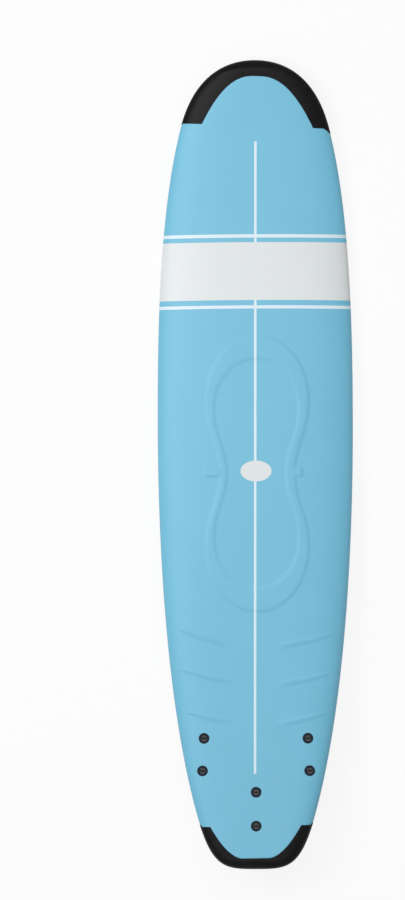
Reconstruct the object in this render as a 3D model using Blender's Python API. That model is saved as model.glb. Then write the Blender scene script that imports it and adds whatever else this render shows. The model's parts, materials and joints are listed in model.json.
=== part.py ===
"""An eight-foot soft-top surfboard with three bolt-on fins, made of its separate pieces.

The board is modelled in its own frame: x to its right, y towards the nose, z up through the
deck, with the middle of its bottom at the origin. One empty then carries it to the pose in
which it rests on a floor: deck up, standing on its two side fins and the front of its belly.
All sizes are in metres and all angles in degrees.
"""

import math

import bmesh
import bpy
import numpy as np
from mathutils import Matrix, Vector

# Plan shape, read from the nose tip back to the tail end
LENGTH = 2.438
WIDTH = 0.590
WIDE_POINT = 0.124
NOSE_SHOULDER_BACK = 0.201
NOSE_SHOULDER_HALF = 0.223
NOSE_SHOULDER_TURN = 75.2
TAIL_SHOULDER_AHEAD = 0.196
TAIL_SHOULDER_HALF = 0.1874
TAIL_SHOULDER_TURN = 75.6
NOSE_HANDLES = (0.079, 0.170)
FORE_HANDLES = (0.268, 0.247)
AFT_HANDLES = (0.364, 0.335)
TAIL_HANDLES = (0.200, 0.103)
PLAN_STEPS = (8, 7, 9, 8)
FINE_PLAN_STEPS = (60, 60, 60, 60)

# Foil and rocker, seen from the side
THICKNESS = 0.085
NOSE_THICKNESS = 0.048
TAIL_THICKNESS = 0.046
FOIL_POWER = 2.2
NOSE_ROUND = 0.035
TAIL_ROUND = 0.026
NOSE_ROCKER = 0.112
TAIL_ROCKER = 0.058
NOSE_ROCKER_POWER = 2.4
TAIL_ROCKER_POWER = 2.3
FLAT_AHEAD = 0.130
FLAT_BEHIND = 0.130

# Cross-section: a flat bottom, a tucked lower rail and a domed deck
APEX_SHARE = 0.42
RAIL_TUCK = 0.060
TAIL_TUCK = 0.020
TUCK_LIMIT = 0.6
DECK_POWER = 3.0
TAIL_DECK_POWER = 7.0
RAIL_POWER = 2.4
TUCK_ANGLES = (30, 60)
DECK_ANGLES = (14, 30, 46, 62, 78)

# Layers round the foam blank
DECK_FOAM = 0.006
BOTTOM_SHEET = 0.004
BUMPER_PROUD = 0.001
STRINGER_WIDTH = 0.006
STRINGER_OFFSET = 0.070
GAP = 0.0003
SHARP_ANGLE = 35

# Bumpers: how far they reach in from the tip at the middle and at the rails, the flat middle of
# their inner edge, half the width between its corners, and how askew the cap sits
NOSE_BUMPER_DEPTH = 0.048
NOSE_BUMPER_REACH = 0.200
NOSE_BUMPER_FLAT = 0.010
NOSE_BUMPER_HALF = 0.168
NOSE_BUMPER_POWER = 2.2
NOSE_BUMPER_SHIFT = 0.007
NOSE_BUMPER_SKEW = 2.2
NOSE_BUMPER_DROPS = (0.006, 0.013)
TAIL_BUMPER_DEPTH = 0.0325
TAIL_BUMPER_REACH = 0.1293
TAIL_BUMPER_FLAT = 0.053
TAIL_BUMPER_HALF = 0.137
TAIL_BUMPER_POWER = 1.7
TAIL_BUMPER_SHIFT = -0.0015
TAIL_BUMPER_SKEW = 1.0
TAIL_BUMPER_DROPS = (0.007, 0.006)
BUMPER_DROP_SLOPE = 0.8
BUMPER_EDGE_STEPS = 7
SKIN_UNDER_BUMPER = 0.5

# Moulded relief of the deck: the figure-eight band, its tabs and the ribs
RELIEF = 0.002
RELIEF_BEVEL = 0.007
RELIEF_ROOT = 0.001
BAND_CENTRE = -0.0255
BAND_OUTER = {"end": 0.420, "lobe": 0.160, "lobe_at": 0.219, "waist": 0.118}
BAND_INNER = {"end": 0.342, "lobe": 0.123, "lobe_at": 0.196, "waist": 0.0845}
BAND_STEPS = 6
BAND_END_FULLNESS = 0.56
BAND_LOBE_FULLNESS = 0.42
BAND_WAIST_FULLNESS = 0.38
TAB_LENGTH = 0.029
TAB_LEFT_REACH = 0.046
TAB_RIGHT_REACH = 0.028
TAB_RELIEF = 0.0015
RIB_WIDTH = 0.012
RIB_SLOPE = 13.0
RIB_START = 0.064
RIB_END = 0.234
RIB_SHORTER = 0.010
RIB_NEARER = 0.005
RIB_FIRST = -0.544
RIB_PITCH = 0.1166
RIB_COUNT = 3
BAR_STEPS = 5

# Fin places: bolt pitch, distances of the fin's middle from the tail end and from the rail, and
# its toe-in and cant
SIDE_BOLT_PITCH = 0.098
SIDE_FIN_AHEAD = 0.3405
SIDE_FIN_FROM_RAIL = 0.060
SIDE_FIN_TOE = 2.9
SIDE_FIN_CANT = 5.0
CENTRE_BOLT_PITCH = 0.102
CENTRE_FIN_AHEAD = 0.175

# Fins
FIN_DEPTH = 0.116
FIN_ROOT = 0.112
FIN_TIP = 0.030
FIN_RAKE = 0.062
FIN_THICKNESS = 0.0085
FIN_TIP_THICKNESS = 0.0035
FIN_EDGE = 0.0012
FIN_LEVELS = 8
FIN_LEAD_WAY = (-0.55, -0.84)
FIN_LEAD_HANDLES = (0.20, 0.45)
FIN_SWEEP_POWER = 2.0
FOIL_CHORDS = (0.05, 0.18, 0.40, 0.70, 1.0)
FOOT_WIDTH = 0.022
FOOT_HEIGHT = 0.004
FOOT_OVERHANG = 0.015
FOOT_ARC_STEP = 30
POST_RADIUS = 0.008
POST_HEIGHT = 0.020

# Bolts: the deck plug, the socket below it, the screw and the threaded insert
ROUND_STEPS = 12
FLANGE_RADIUS = 0.016
FLANGE_THICKNESS = 0.0022
FLANGE_SUNK = 0.0004
CUP_RADIUS = 0.0135
CUP_FLOOR = 0.003
TUBE_RADIUS = 0.0085
HEAD_RADIUS = 0.0103
HEAD_THICKNESS = 0.004
HEAD_SUNK = 0.0006
HEAD_CHAMFER = 0.0008
SLOT_WIDTH = 0.0034
SLOT_DEPTH = 0.0022
SLOT_LENGTH = 0.017
SHANK_RADIUS = 0.004
SHANK_CLEARANCE = 0.0006
SOCKET_FLANGE_RADIUS = 0.0145
SOCKET_FLANGE_THICKNESS = 0.002
SOCKET_WALL = 0.003
SOCKET_CLEARANCE = 0.0004
INSERT_RADIUS = 0.0058
INSERT_HEIGHT = 0.012
THREAD_CLEARANCE = 0.0003
SCREW_ENGAGEMENT = 0.009

# Steps and tolerances of the sums below
DECK_SEARCH_STEPS = 8
BALANCE_STATIONS = 200
TOUCHING = 1e-9

HALF = LENGTH / 2
FAR = 2 * LENGTH
SEAM = 2


def clear_scene():
    """Removes whatever the scene holds."""
    for thing in list(bpy.data.objects):
        bpy.data.objects.remove(thing, do_unlink=True)


def material(name, colour, roughness, metallic=0.0):
    """A plain Principled material."""
    made = bpy.data.materials.new(name)
    made.use_nodes = True
    shader = made.node_tree.nodes["Principled BSDF"]
    shader.inputs["Base Color"].default_value = (*colour, 1.0)
    shader.inputs["Roughness"].default_value = roughness
    shader.inputs["Metallic"].default_value = metallic
    return made


def curve(start, start_way, end, end_way, handles, steps):
    """Points of a cubic curve between two points, leaving and arriving along the given ways."""
    first, last = np.array(start), np.array(end)
    near = first + handles[0] * np.array(start_way)
    far = last - handles[1] * np.array(end_way)
    points = []
    for t in np.linspace(0, 1, steps + 1):
        s = 1 - t
        points.append(s**3 * first + 3 * s * s * t * near + 3 * s * t * t * far + t**3 * last)
    return np.array(points)


def plan(steps):
    """The right half of the plan shape, as (half width, y) from the nose tip to the tail end."""
    turn, tail_turn = math.radians(NOSE_SHOULDER_TURN), math.radians(TAIL_SHOULDER_TURN)
    shoulder = (NOSE_SHOULDER_HALF, HALF - NOSE_SHOULDER_BACK)
    tail_shoulder = (TAIL_SHOULDER_HALF, TAIL_SHOULDER_AHEAD - HALF)
    corners = [
        ((0, HALF), (1, 0)),
        (shoulder, (math.cos(turn), -math.sin(turn))),
        ((WIDTH / 2, WIDE_POINT), (0, -1)),
        (tail_shoulder, (-math.cos(tail_turn), -math.sin(tail_turn))),
        ((0, -HALF), (-1, 0)),
    ]
    handles = (NOSE_HANDLES, FORE_HANDLES, AFT_HANDLES, TAIL_HANDLES)
    points = [np.array([[0, HALF]])]
    for (a, a_way), (b, b_way), pair, count in zip(corners, corners[1:], handles, steps):
        points.append(curve(a, a_way, b, b_way, pair, count)[1:])
    return np.vstack(points)


FINE_PLAN = plan(FINE_PLAN_STEPS)[::-1]


def half_width(y):
    """Half the board's width at y."""
    return float(np.interp(y, FINE_PLAN[:, 1], FINE_PLAN[:, 0]))


def blend(y):
    """0 at the tail end and 1 from the widest point on, with soft ends."""
    t = min(max((y + HALF) / (WIDE_POINT + HALF), 0), 1)
    return t * t * (3 - 2 * t)


def rocker(y):
    """How far the bottom lifts at y."""
    if y > FLAT_AHEAD:
        return NOSE_ROCKER * ((y - FLAT_AHEAD) / (HALF - FLAT_AHEAD)) ** NOSE_ROCKER_POWER
    if y < -FLAT_BEHIND:
        return TAIL_ROCKER * ((-FLAT_BEHIND - y) / (HALF - FLAT_BEHIND)) ** TAIL_ROCKER_POWER
    return 0.0


def levels(y):
    """The bottom, the rail's apex and the top of the deck at y."""
    ahead = y > WIDE_POINT
    span = HALF - WIDE_POINT if ahead else HALF + WIDE_POINT
    end = NOSE_THICKNESS if ahead else TAIL_THICKNESS
    foil = THICKNESS - (THICKNESS - end) * (abs(y - WIDE_POINT) / span) ** FOIL_POWER
    rounding = NOSE_ROUND if ahead else TAIL_ROUND
    left = max(1 - (HALF - abs(y)) / rounding, 0)
    closing = math.sqrt(max(1 - left * left, 0))
    apex = rocker(y) + APEX_SHARE * foil
    return apex - APEX_SHARE * foil * closing, apex, apex + (1 - APEX_SHARE) * foil * closing


def deck_power(y):
    """How flat the deck's dome is at y: the tail is flatter."""
    return TAIL_DECK_POWER + (DECK_POWER - TAIL_DECK_POWER) * blend(y)


def deck_height(x, y):
    """The height of the deck's surface over a point of the plan."""
    _, apex, top = levels(y)
    inside = max(1 - (abs(x) / half_width(y)) ** deck_power(y), 0)
    return apex + (top - apex) * inside ** (1 / RAIL_POWER)


def section(half, y):
    """One cross-section as a ring of points, from the middle of the bottom to the right and round."""
    bottom, apex, top = levels(y)
    tuck = min(TAIL_TUCK + (RAIL_TUCK - TAIL_TUCK) * blend(y), TUCK_LIMIT * half)
    side = [(0.0, bottom), ((half - tuck) / 2, bottom), (half - tuck, bottom)]
    for angle in map(math.radians, TUCK_ANGLES):
        side.append((half - tuck + tuck * math.sin(angle), apex - (apex - bottom) * math.cos(angle)))
    side.append((half, apex))
    for angle in map(math.radians, DECK_ANGLES):
        x = half * math.cos(angle) ** (2 / deck_power(y))
        side.append((x, apex + (top - apex) * math.sin(angle) ** (2 / RAIL_POWER)))
    ring = side + [(0.0, top)] + [(-x, z) for x, z in side[:0:-1]]
    return [(x, y, z) for x, z in ring]


def hull_grid():
    """The board's outer surface as rings of points with their outward normals, and its two tips."""
    points = plan(PLAN_STEPS)
    rings = np.array([section(half, y) for half, y in points[1:-1]])
    tips = [np.array([0, y, levels(y)[1]]) for y in (HALF, -HALF)]
    padded = np.concatenate([np.broadcast_to(tips[0], (1, *rings.shape[1:])), rings,
                             np.broadcast_to(tips[1], (1, *rings.shape[1:]))])
    along = padded[2:] - padded[:-2]
    round_it = np.roll(rings, -1, axis=1) - np.roll(rings, 1, axis=1)
    normals = np.cross(along, round_it)
    normals /= np.linalg.norm(normals, axis=2, keepdims=True)
    outward = rings - rings.mean(axis=1, keepdims=True)
    if (normals * outward).sum() < 0:
        normals = -normals
    return rings, normals, tips


RINGS, NORMALS, TIPS = hull_grid()
AROUND = RINGS.shape[1]
APEX = SEAM + len(TUCK_ANGLES) + 1


def layer(j):
    """The thickness of the board's outer layer at point j of a ring."""
    j = min(j, AROUND - j)
    share = min(max((j - SEAM) / (APEX - SEAM), 0), 1)
    return BOTTOM_SHEET + (DECK_FOAM - BOTTOM_SHEET) * share


LAYERS = np.array([layer(j) for j in range(AROUND)])[None, :, None]


def inset(depths):
    """The rings and tips moved inwards along their normals by a depth for each point of a ring."""
    tips = [tip - np.array([0, math.copysign(1, tip[1]) * np.max(depths), 0]) for tip in TIPS]
    return RINGS - NORMALS * depths, tips


def add_object(name, mesh, look=None):
    """A new object with this mesh, in the scene."""
    made = bpy.data.objects.new(name, mesh)
    bpy.context.scene.collection.objects.link(made)
    if look:
        mesh.materials.clear()
        mesh.materials.append(look)
    return made


def to_mesh(name, build):
    """A mesh made by a function that fills a bmesh, with its faces pointing out."""
    shape = bmesh.new()
    build(shape)
    quads = [face for face in shape.faces if len(face.verts) == 4]
    bmesh.ops.triangulate(shape, faces=quads, quad_method="FIXED")
    bmesh.ops.recalc_face_normals(shape, faces=shape.faces)
    mesh = bpy.data.meshes.new(name)
    shape.to_mesh(mesh)
    shape.free()
    mesh.shade_smooth()
    mesh.set_sharp_from_angle(angle=math.radians(SHARP_ANGLE))
    return mesh


def row(shape, points):
    """New vertices at these points."""
    return [shape.verts.new(tuple(map(float, point))) for point in points]


def bridge(shape, first, second, closed):
    """Faces between two rows of vertices of equal length."""
    count = len(first)
    for k in range(count if closed else count - 1):
        n = (k + 1) % count
        shape.faces.new((first[k], first[n], second[n], second[k]))


def fan(shape, ring, tip):
    """Triangles from a closed ring to one tip."""
    for k, vertex in enumerate(ring):
        shape.faces.new((vertex, ring[(k + 1) % len(ring)], tip))


def tube(name, rings, start=None, end=None):
    """A closed solid through rings of points. Each end is a tip, or flat where it has none."""
    def build(shape):
        rows = [row(shape, ring) for ring in rings]
        for first, second in zip(rows, rows[1:]):
            bridge(shape, first, second, True)
        for ring, tip in ((rows[0], start), (rows[-1], end)):
            if tip is None:
                shape.faces.new(ring)
            else:
                fan(shape, ring, row(shape, [tip])[0])
    return to_mesh(name, build)


def shell(name, outer, inner):
    """A closed sheet between two grids of points of the same size."""
    def build(shape):
        sheets = [[row(shape, line) for line in grid] for grid in (outer, inner)]
        for sheet in sheets:
            for first, second in zip(sheet, sheet[1:]):
                bridge(shape, first, second, False)
        top, under = sheets
        for k in (0, -1):
            bridge(shape, top[k], under[k], False)
            bridge(shape, [line[k] for line in top], [line[k] for line in under], False)
    return to_mesh(name, build)


def prism(name, outline, low, high):
    """A solid standing on a plan outline."""
    return tube(name, [[(x, y, z) for x, y in outline] for z in (low, high)])


def revolve(name, profile, steps=ROUND_STEPS):
    """A solid of revolution round z. The profile is a closed loop of (radius, z), or an open
    one that starts and ends on the axis."""
    solid = profile[0][0] == 0

    def build(shape):
        turned = profile[1:-1] if solid else profile
        rows = []
        for radius, z in turned:
            angles = [math.tau * (k + 0.5) / steps for k in range(steps)]
            rows.append(row(shape, [(radius * math.cos(a), radius * math.sin(a), z) for a in angles]))
        for first, second in zip(rows, rows[1:]):
            bridge(shape, first, second, True)
        if solid:
            shape.faces.new(rows[0])
            shape.faces.new(rows[-1])
        else:
            bridge(shape, rows[-1], rows[0], True)
    return to_mesh(name, build)


def offset_path(points, distance, closed):
    """A plan path moved sideways, to its left as it runs, with mitred corners."""
    path = [Vector(point) for point in points]
    moved = []
    for k, point in enumerate(path):
        before = path[k - 1] if closed or k else None
        after = path[(k + 1) % len(path)] if closed or k + 1 < len(path) else None
        ways = []
        if before is not None:
            ways.append((point - before).normalized())
        if after is not None:
            ways.append((after - point).normalized())
        sides = [Vector((-way.y, way.x)) for way in ways]
        mitre = (sides[0] + sides[-1]).normalized()
        moved.append(point + mitre * (distance / mitre.dot(sides[0])))
    return [(point.x, point.y) for point in moved]


def cutter(name, mesh):
    """An object that only cuts or joins others."""
    made = add_object(name, mesh)
    made.hide_render = True
    made.display_type = "WIRE"
    return made


def combine(target, other, operation):
    """Adds a Boolean modifier to the target."""
    change = target.modifiers.new(f"{operation.lower()}_{other.name}", "BOOLEAN")
    change.operation = operation
    change.solver = "EXACT"
    change.object = other


def bumper_edge(tip, depth, reach, flat, half, power, shift, skew, drops):
    """The inner edge of a bumper in plan, from outside the left rail to outside the right rail.
    It runs square in over each rail, then follows a power curve to its flat middle."""
    way = -math.copysign(1, tip)
    left_drop, right_drop = (half_width(tip + way * reach) - width for width in drops)
    right = []
    for share in np.linspace(0, 1, BUMPER_EDGE_STEPS):
        right.append((flat + (half - flat) * share, depth + (reach - depth) * share**power))
    outside = reach + BUMPER_DROP_SLOPE * WIDTH
    edge = [(-left_drop - WIDTH, outside), (-left_drop, reach)]
    edge += [(shift - x, in_from_tip) for x, in_from_tip in right[::-1]]
    edge += [(shift + x, in_from_tip) for x, in_from_tip in right]
    edge += [(right_drop, reach), (right_drop + WIDTH, outside)]
    tilt = math.tan(math.radians(skew))
    return [(x, tip + way * (in_from_tip + tilt * (x - shift))) for x, in_from_tip in edge]


NOSE_EDGE = bumper_edge(HALF, NOSE_BUMPER_DEPTH, NOSE_BUMPER_REACH, NOSE_BUMPER_FLAT,
                        NOSE_BUMPER_HALF, NOSE_BUMPER_POWER, NOSE_BUMPER_SHIFT, NOSE_BUMPER_SKEW,
                        NOSE_BUMPER_DROPS)
TAIL_EDGE = bumper_edge(-HALF, TAIL_BUMPER_DEPTH, TAIL_BUMPER_REACH, TAIL_BUMPER_FLAT,
                        TAIL_BUMPER_HALF, TAIL_BUMPER_POWER, TAIL_BUMPER_SHIFT, TAIL_BUMPER_SKEW,
                        TAIL_BUMPER_DROPS)


def beyond(edge, y):
    """A plan outline that lies between a bumper's edge and the line at y."""
    return edge + [(edge[-1][0], y), (edge[0][0], y)]


def end_cap(name, grid, tips, at_nose, count):
    """The closed end of the board's shape, from one tip over this many rings."""
    if at_nose:
        return tube(name, grid[:count], start=tips[0])
    return tube(name, grid[-count:], end=tips[1])


def make_bumper(name, look, edge, at_nose):
    """A rubber cap: the outer surface a little proud, the inner one on the blank, cut at its edge."""
    ends = [abs(y) for x, y in edge if abs(x) < WIDTH]
    count = int((np.abs(RINGS[:, 0, 1][(RINGS[:, 0, 1] > 0) == at_nose]) > min(ends)).sum()) + 3
    outer = end_cap(name, *inset(np.full_like(LAYERS, -BUMPER_PROUD)), at_nose, count)
    inner = end_cap(f"{name}_inside", *inset(LAYERS), at_nose, count + 1)
    made = add_object(name, outer, look)
    combine(made, cutter(f"{name}_inside", inner), "DIFFERENCE")
    behind = prism(f"{name}_behind", beyond(edge, 0), -FAR, FAR)
    combine(made, cutter(f"{name}_behind", behind), "DIFFERENCE")
    return made


def make_trims():
    """The cutters that end the deck skin and the bottom sheet a gap short of the bumpers."""
    nose = offset_path(NOSE_EDGE, -GAP, False)
    tail = offset_path(TAIL_EDGE, GAP, False)
    return [cutter("nose_trim", prism("nose_trim", beyond(nose, FAR), -FAR, FAR)),
            cutter("tail_trim", prism("tail_trim", beyond(tail, -FAR), -FAR, FAR))]


def within_bumpers(grid):
    """The rings of a grid that the skins need: they end inside the bumpers, short of the tips."""
    y = RINGS[:, 0, 1]
    keep = (y < HALF - SKIN_UNDER_BUMPER * NOSE_BUMPER_DEPTH) & (
        y > SKIN_UNDER_BUMPER * TAIL_BUMPER_DEPTH - HALF)
    return grid[keep]


def make_deck_skin(look):
    """The foam sheet over the deck and both rails, down to the seam under each rail."""
    inner, _ = inset(LAYERS)
    over = range(SEAM, AROUND - SEAM + 1)
    mesh = shell("deck_skin", within_bumpers(RINGS)[:, over], within_bumpers(inner)[:, over])
    return add_object("deck_skin", mesh, look)


def make_bottom_sheet(look):
    """The slick sheet between the seams, a gap short of the deck skin's edge on each side."""
    inner, _ = inset(LAYERS)
    under = list(range(AROUND - SEAM, AROUND)) + list(range(SEAM + 1))
    sheets = []
    for grid in (RINGS, inner):
        sheet = within_bumpers(grid)[:, under].copy()
        sheet[:, 0, 0] += GAP
        sheet[:, -1, 0] -= GAP
        sheets.append(sheet)
    return add_object("bottom_sheet", shell("bottom_sheet", *sheets), look)


def band_outline(sizes):
    """One contour of the figure-eight band: two lobes with a waist between, clockwise in plan."""
    top, lobe, waist = (0, sizes["end"]), (sizes["lobe"], sizes["lobe_at"]), (sizes["waist"], 0)
    rise = sizes["end"] - sizes["lobe_at"]
    end_handles = (BAND_END_FULLNESS * lobe[0], BAND_END_FULLNESS * rise)
    waist_handles = (BAND_LOBE_FULLNESS * lobe[1], BAND_WAIST_FULLNESS * lobe[1])
    quarter = list(curve(top, (1, 0), lobe, (0, -1), end_handles, BAND_STEPS)[:-1])
    quarter.extend(curve(lobe, (0, -1), waist, (0, -1), waist_handles, BAND_STEPS))
    right = quarter + [(x, -y) for x, y in quarter[-2::-1]]
    loop = right + [(-x, y) for x, y in right[-2:0:-1]]
    return [(x, y + BAND_CENTRE) for x, y in loop]


def on_deck(path, lift):
    """Points over a plan path at a height above the deck's surface."""
    return [(x, y, deck_height(x, y) + lift) for x, y in path]


def make_band():
    """The raised figure-eight band: a ring with sloped edges whose foot is sunk in the skin."""
    outer, inner = band_outline(BAND_OUTER), band_outline(BAND_INNER)

    def build(shape):
        loops = [
            row(shape, on_deck(outer, -RELIEF_ROOT)),
            row(shape, on_deck(offset_path(outer, -RELIEF_BEVEL, True), RELIEF)),
            row(shape, on_deck(offset_path(inner, RELIEF_BEVEL, True), RELIEF)),
            row(shape, on_deck(inner, -RELIEF_ROOT)),
        ]
        for first, second in zip(loops, loops[1:] + loops[:1]):
            bridge(shape, first, second, True)
    return cutter("band", to_mesh("band", build))


def raised_bar(name, start, end, width, lift, bevel):
    """A raised bar that follows the deck between two points of the plan, with sloped edges and
    a sunk foot."""
    first, last = Vector(start), Vector(end)
    way = (last - first).normalized()
    side = Vector((-way.y, way.x)) * (width / 2)

    def build(shape):
        stations = []
        for k in range(BAR_STEPS + 1):
            foot = first.lerp(last, k / BAR_STEPS)
            crest = foot + way * bevel * (1 - 2 * k / BAR_STEPS)
            inner = side * (1 - 2 * bevel / width)
            points = on_deck([foot + side], -RELIEF_ROOT) + on_deck([crest + inner], lift)
            points += on_deck([crest - inner], lift) + on_deck([foot - side], -RELIEF_ROOT)
            stations.append(row(shape, points))
        for one, two in zip(stations, stations[1:]):
            bridge(shape, one, two, True)
        shape.faces.new(stations[0])
        shape.faces.new(stations[-1])
    return cutter(name, to_mesh(name, build))


def make_tabs():
    """The two tabs that stick out of the band's waist."""
    tabs = []
    inside = BAND_OUTER["waist"] - RELIEF_BEVEL
    for name, side, reach in (("left_tab", -1, TAB_LEFT_REACH), ("right_tab", 1, TAB_RIGHT_REACH)):
        start, end = side * inside, side * (BAND_OUTER["waist"] + reach)
        tabs.append(raised_bar(name, (start, BAND_CENTRE), (end, BAND_CENTRE), TAB_LENGTH,
                               TAB_RELIEF, RELIEF_BEVEL / 2))
    return tabs


def make_ribs():
    """Three pairs of slanted ribs behind the band."""
    ribs = []
    slope = math.tan(math.radians(RIB_SLOPE))
    for number in range(RIB_COUNT):
        y = RIB_FIRST - number * RIB_PITCH
        start, end = RIB_START - number * RIB_NEARER, RIB_END - number * RIB_SHORTER
        rise = (end - start) * slope
        for side, label in ((-1, "left"), (1, "right")):
            inner_end, outer_end = (side * start, y), (side * end, y + rise)
            ribs.append(raised_bar(f"rib_{label}_{number + 1}", inner_end, outer_end, RIB_WIDTH,
                                   RELIEF, RIB_WIDTH / 4))
    return ribs


def make_blank(foam, wood, bores):
    """The foam blank in three strips with a stringer in each joint, all cut from one shape."""
    rings, tips = inset(LAYERS + GAP)
    edge = STRINGER_OFFSET - STRINGER_WIDTH / 2
    outer = STRINGER_OFFSET + STRINGER_WIDTH / 2
    strips = [("core_left", -FAR, -outer - GAP, foam), ("stringer_left", -outer, -edge, wood),
              ("core_centre", -edge + GAP, edge - GAP, foam), ("stringer_right", edge, outer, wood),
              ("core_right", outer + GAP, FAR, foam)]
    for name, left, right, look in strips:
        strip = add_object(name, tube(name, rings, start=tips[0], end=tips[1]), look)
        outline = [(left, -FAR), (right, -FAR), (right, FAR), (left, FAR)]
        box = prism(f"{name}_strip", outline, -FAR, FAR)
        combine(strip, cutter(f"{name}_strip", box), "INTERSECT")
        if look is foam:
            combine(strip, bores, "DIFFERENCE")


def fin_frame(x, ahead, toe):
    """Where a fin meets the bottom: its place, the rocker's slope there and the fin's toe-in."""
    y = ahead - HALF
    step = SIDE_BOLT_PITCH / 2
    slope = math.atan2(rocker(y + step) - rocker(y - step), 2 * step)
    turned = Matrix.Rotation(slope, 4, "X") @ Matrix.Rotation(math.radians(toe), 4, "Z")
    return Matrix.Translation((x, y, rocker(y))) @ turned


SIDE_FIN_OUT = half_width(SIDE_FIN_AHEAD - HALF) - SIDE_FIN_FROM_RAIL
LEFT_FRAME = fin_frame(-SIDE_FIN_OUT, SIDE_FIN_AHEAD, -SIDE_FIN_TOE)
RIGHT_FRAME = fin_frame(SIDE_FIN_OUT, SIDE_FIN_AHEAD, SIDE_FIN_TOE)
CENTRE_FRAME = fin_frame(0, CENTRE_FIN_AHEAD, 0)
FINS = {
    "side_fin_left": (LEFT_FRAME, SIDE_BOLT_PITCH, -SIDE_FIN_CANT),
    "side_fin_right": (RIGHT_FRAME, SIDE_BOLT_PITCH, SIDE_FIN_CANT),
    "centre_fin": (CENTRE_FRAME, CENTRE_BOLT_PITCH, 0),
}


def bolt_frames():
    """The frame of each bolt at the bottom's surface, by name, with the deck's height along it."""
    bolts = {}
    for fin, (frame, pitch, _) in FINS.items():
        short = fin.replace("side_fin_", "").replace("_fin", "")
        for place, y in (("front", pitch / 2), ("rear", -pitch / 2)):
            bolt = frame @ Matrix.Translation((0, y, 0))
            height = THICKNESS
            for _ in range(DECK_SEARCH_STEPS):
                point = bolt @ Vector((0, 0, height))
                height += deck_height(point.x, point.y) - point.z
            bolts[f"{short}_{place}"] = (bolt, height)
    return bolts


BOLTS = bolt_frames()
SOCKET_TOP = POST_HEIGHT + GAP + SOCKET_WALL
SOCKET_RADIUS = POST_RADIUS + SOCKET_CLEARANCE + SOCKET_WALL
BORE_RADIUS = SHANK_RADIUS + SHANK_CLEARANCE


def head_seat(height):
    """The level on which a screw's head sits, for a deck at this height."""
    return height - FLANGE_SUNK - HEAD_SUNK - HEAD_THICKNESS - GAP


def plug_profile(height):
    """Deck plug: a flange flush with the deck, a cup for the screw's head and a tube below."""
    top, seat = height - FLANGE_SUNK, head_seat(height)
    cup, end = HEAD_RADIUS + GAP, SOCKET_TOP + GAP
    return [(cup, top), (FLANGE_RADIUS, top), (FLANGE_RADIUS, top - FLANGE_THICKNESS),
            (CUP_RADIUS, top - FLANGE_THICKNESS), (CUP_RADIUS, seat - CUP_FLOOR),
            (TUBE_RADIUS, seat - CUP_FLOOR), (TUBE_RADIUS, end), (BORE_RADIUS, end),
            (BORE_RADIUS, seat), (cup, seat)]


def socket_profile():
    """Bottom socket: a flange flush with the bottom and a sleeve that a fin's post fits."""
    bore, roof = POST_RADIUS + SOCKET_CLEARANCE, SOCKET_TOP - SOCKET_WALL
    return [(bore, 0), (SOCKET_FLANGE_RADIUS, 0), (SOCKET_FLANGE_RADIUS, SOCKET_FLANGE_THICKNESS),
            (SOCKET_RADIUS, SOCKET_FLANGE_THICKNESS), (SOCKET_RADIUS, SOCKET_TOP),
            (BORE_RADIUS, SOCKET_TOP), (BORE_RADIUS, roof), (bore, roof)]


def bore_profile(height):
    """The space that a plug and its socket take in the board, with a gap all round."""
    under_flange = height - FLANGE_SUNK - FLANGE_THICKNESS - GAP
    under_cup = head_seat(height) - CUP_FLOOR - GAP
    above_socket, above_flange = SOCKET_TOP + GAP, SOCKET_FLANGE_THICKNESS + GAP
    flange, cup, sleeve = FLANGE_RADIUS + GAP, CUP_RADIUS + GAP, SOCKET_RADIUS + GAP
    tube_radius, socket_flange = TUBE_RADIUS + GAP, SOCKET_FLANGE_RADIUS + GAP
    return [(0, height + THICKNESS), (flange, height + THICKNESS), (flange, under_flange),
            (cup, under_flange), (cup, under_cup), (tube_radius, under_cup),
            (tube_radius, above_socket), (sleeve, above_socket), (sleeve, above_flange),
            (socket_flange, above_flange), (socket_flange, -THICKNESS), (0, -THICKNESS)]


def make_bores():
    """One cutter with the space of all six bolts."""
    shape = bmesh.new()
    for name, (frame, height) in BOLTS.items():
        mesh = revolve(f"{name}_bore", bore_profile(height))
        mesh.transform(frame)
        shape.from_mesh(mesh)
    bores = bpy.data.meshes.new("bolt_bores")
    shape.to_mesh(bores)
    shape.free()
    return cutter("bolt_bores", bores)


def make_turned(name, frame, profile, look):
    """A turned piece on a bolt's axis, with its origin at the bottom's surface."""
    made = add_object(name, revolve(name, profile), look)
    made.matrix_local = frame


def make_screw(name, frame, height, look):
    """A coin-slot screw: its origin is under its head, on its axis."""
    seat = head_seat(height) + GAP
    tip = POST_HEIGHT - SCREW_ENGAGEMENT - seat
    profile = [(0, HEAD_THICKNESS), (HEAD_RADIUS - HEAD_CHAMFER, HEAD_THICKNESS),
               (HEAD_RADIUS, HEAD_THICKNESS - HEAD_CHAMFER), (HEAD_RADIUS, 0), (SHANK_RADIUS, 0),
               (SHANK_RADIUS, tip + SHANK_RADIUS / 2), (SHANK_RADIUS / 2, tip), (0, tip)]
    screw = add_object(name, revolve(name, profile), look)
    screw.matrix_local = frame @ Matrix.Translation((0, 0, seat))
    w, d = SLOT_LENGTH / 2, SLOT_WIDTH / 2
    outline = [(-w, -d), (w, -d), (w, d), (-w, d)]
    mesh = prism(f"{name}_slot", outline, HEAD_THICKNESS - SLOT_DEPTH, THICKNESS)
    slot = cutter(mesh.name, mesh)
    slot.matrix_local = screw.matrix_local
    combine(screw, slot, "DIFFERENCE")


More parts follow.
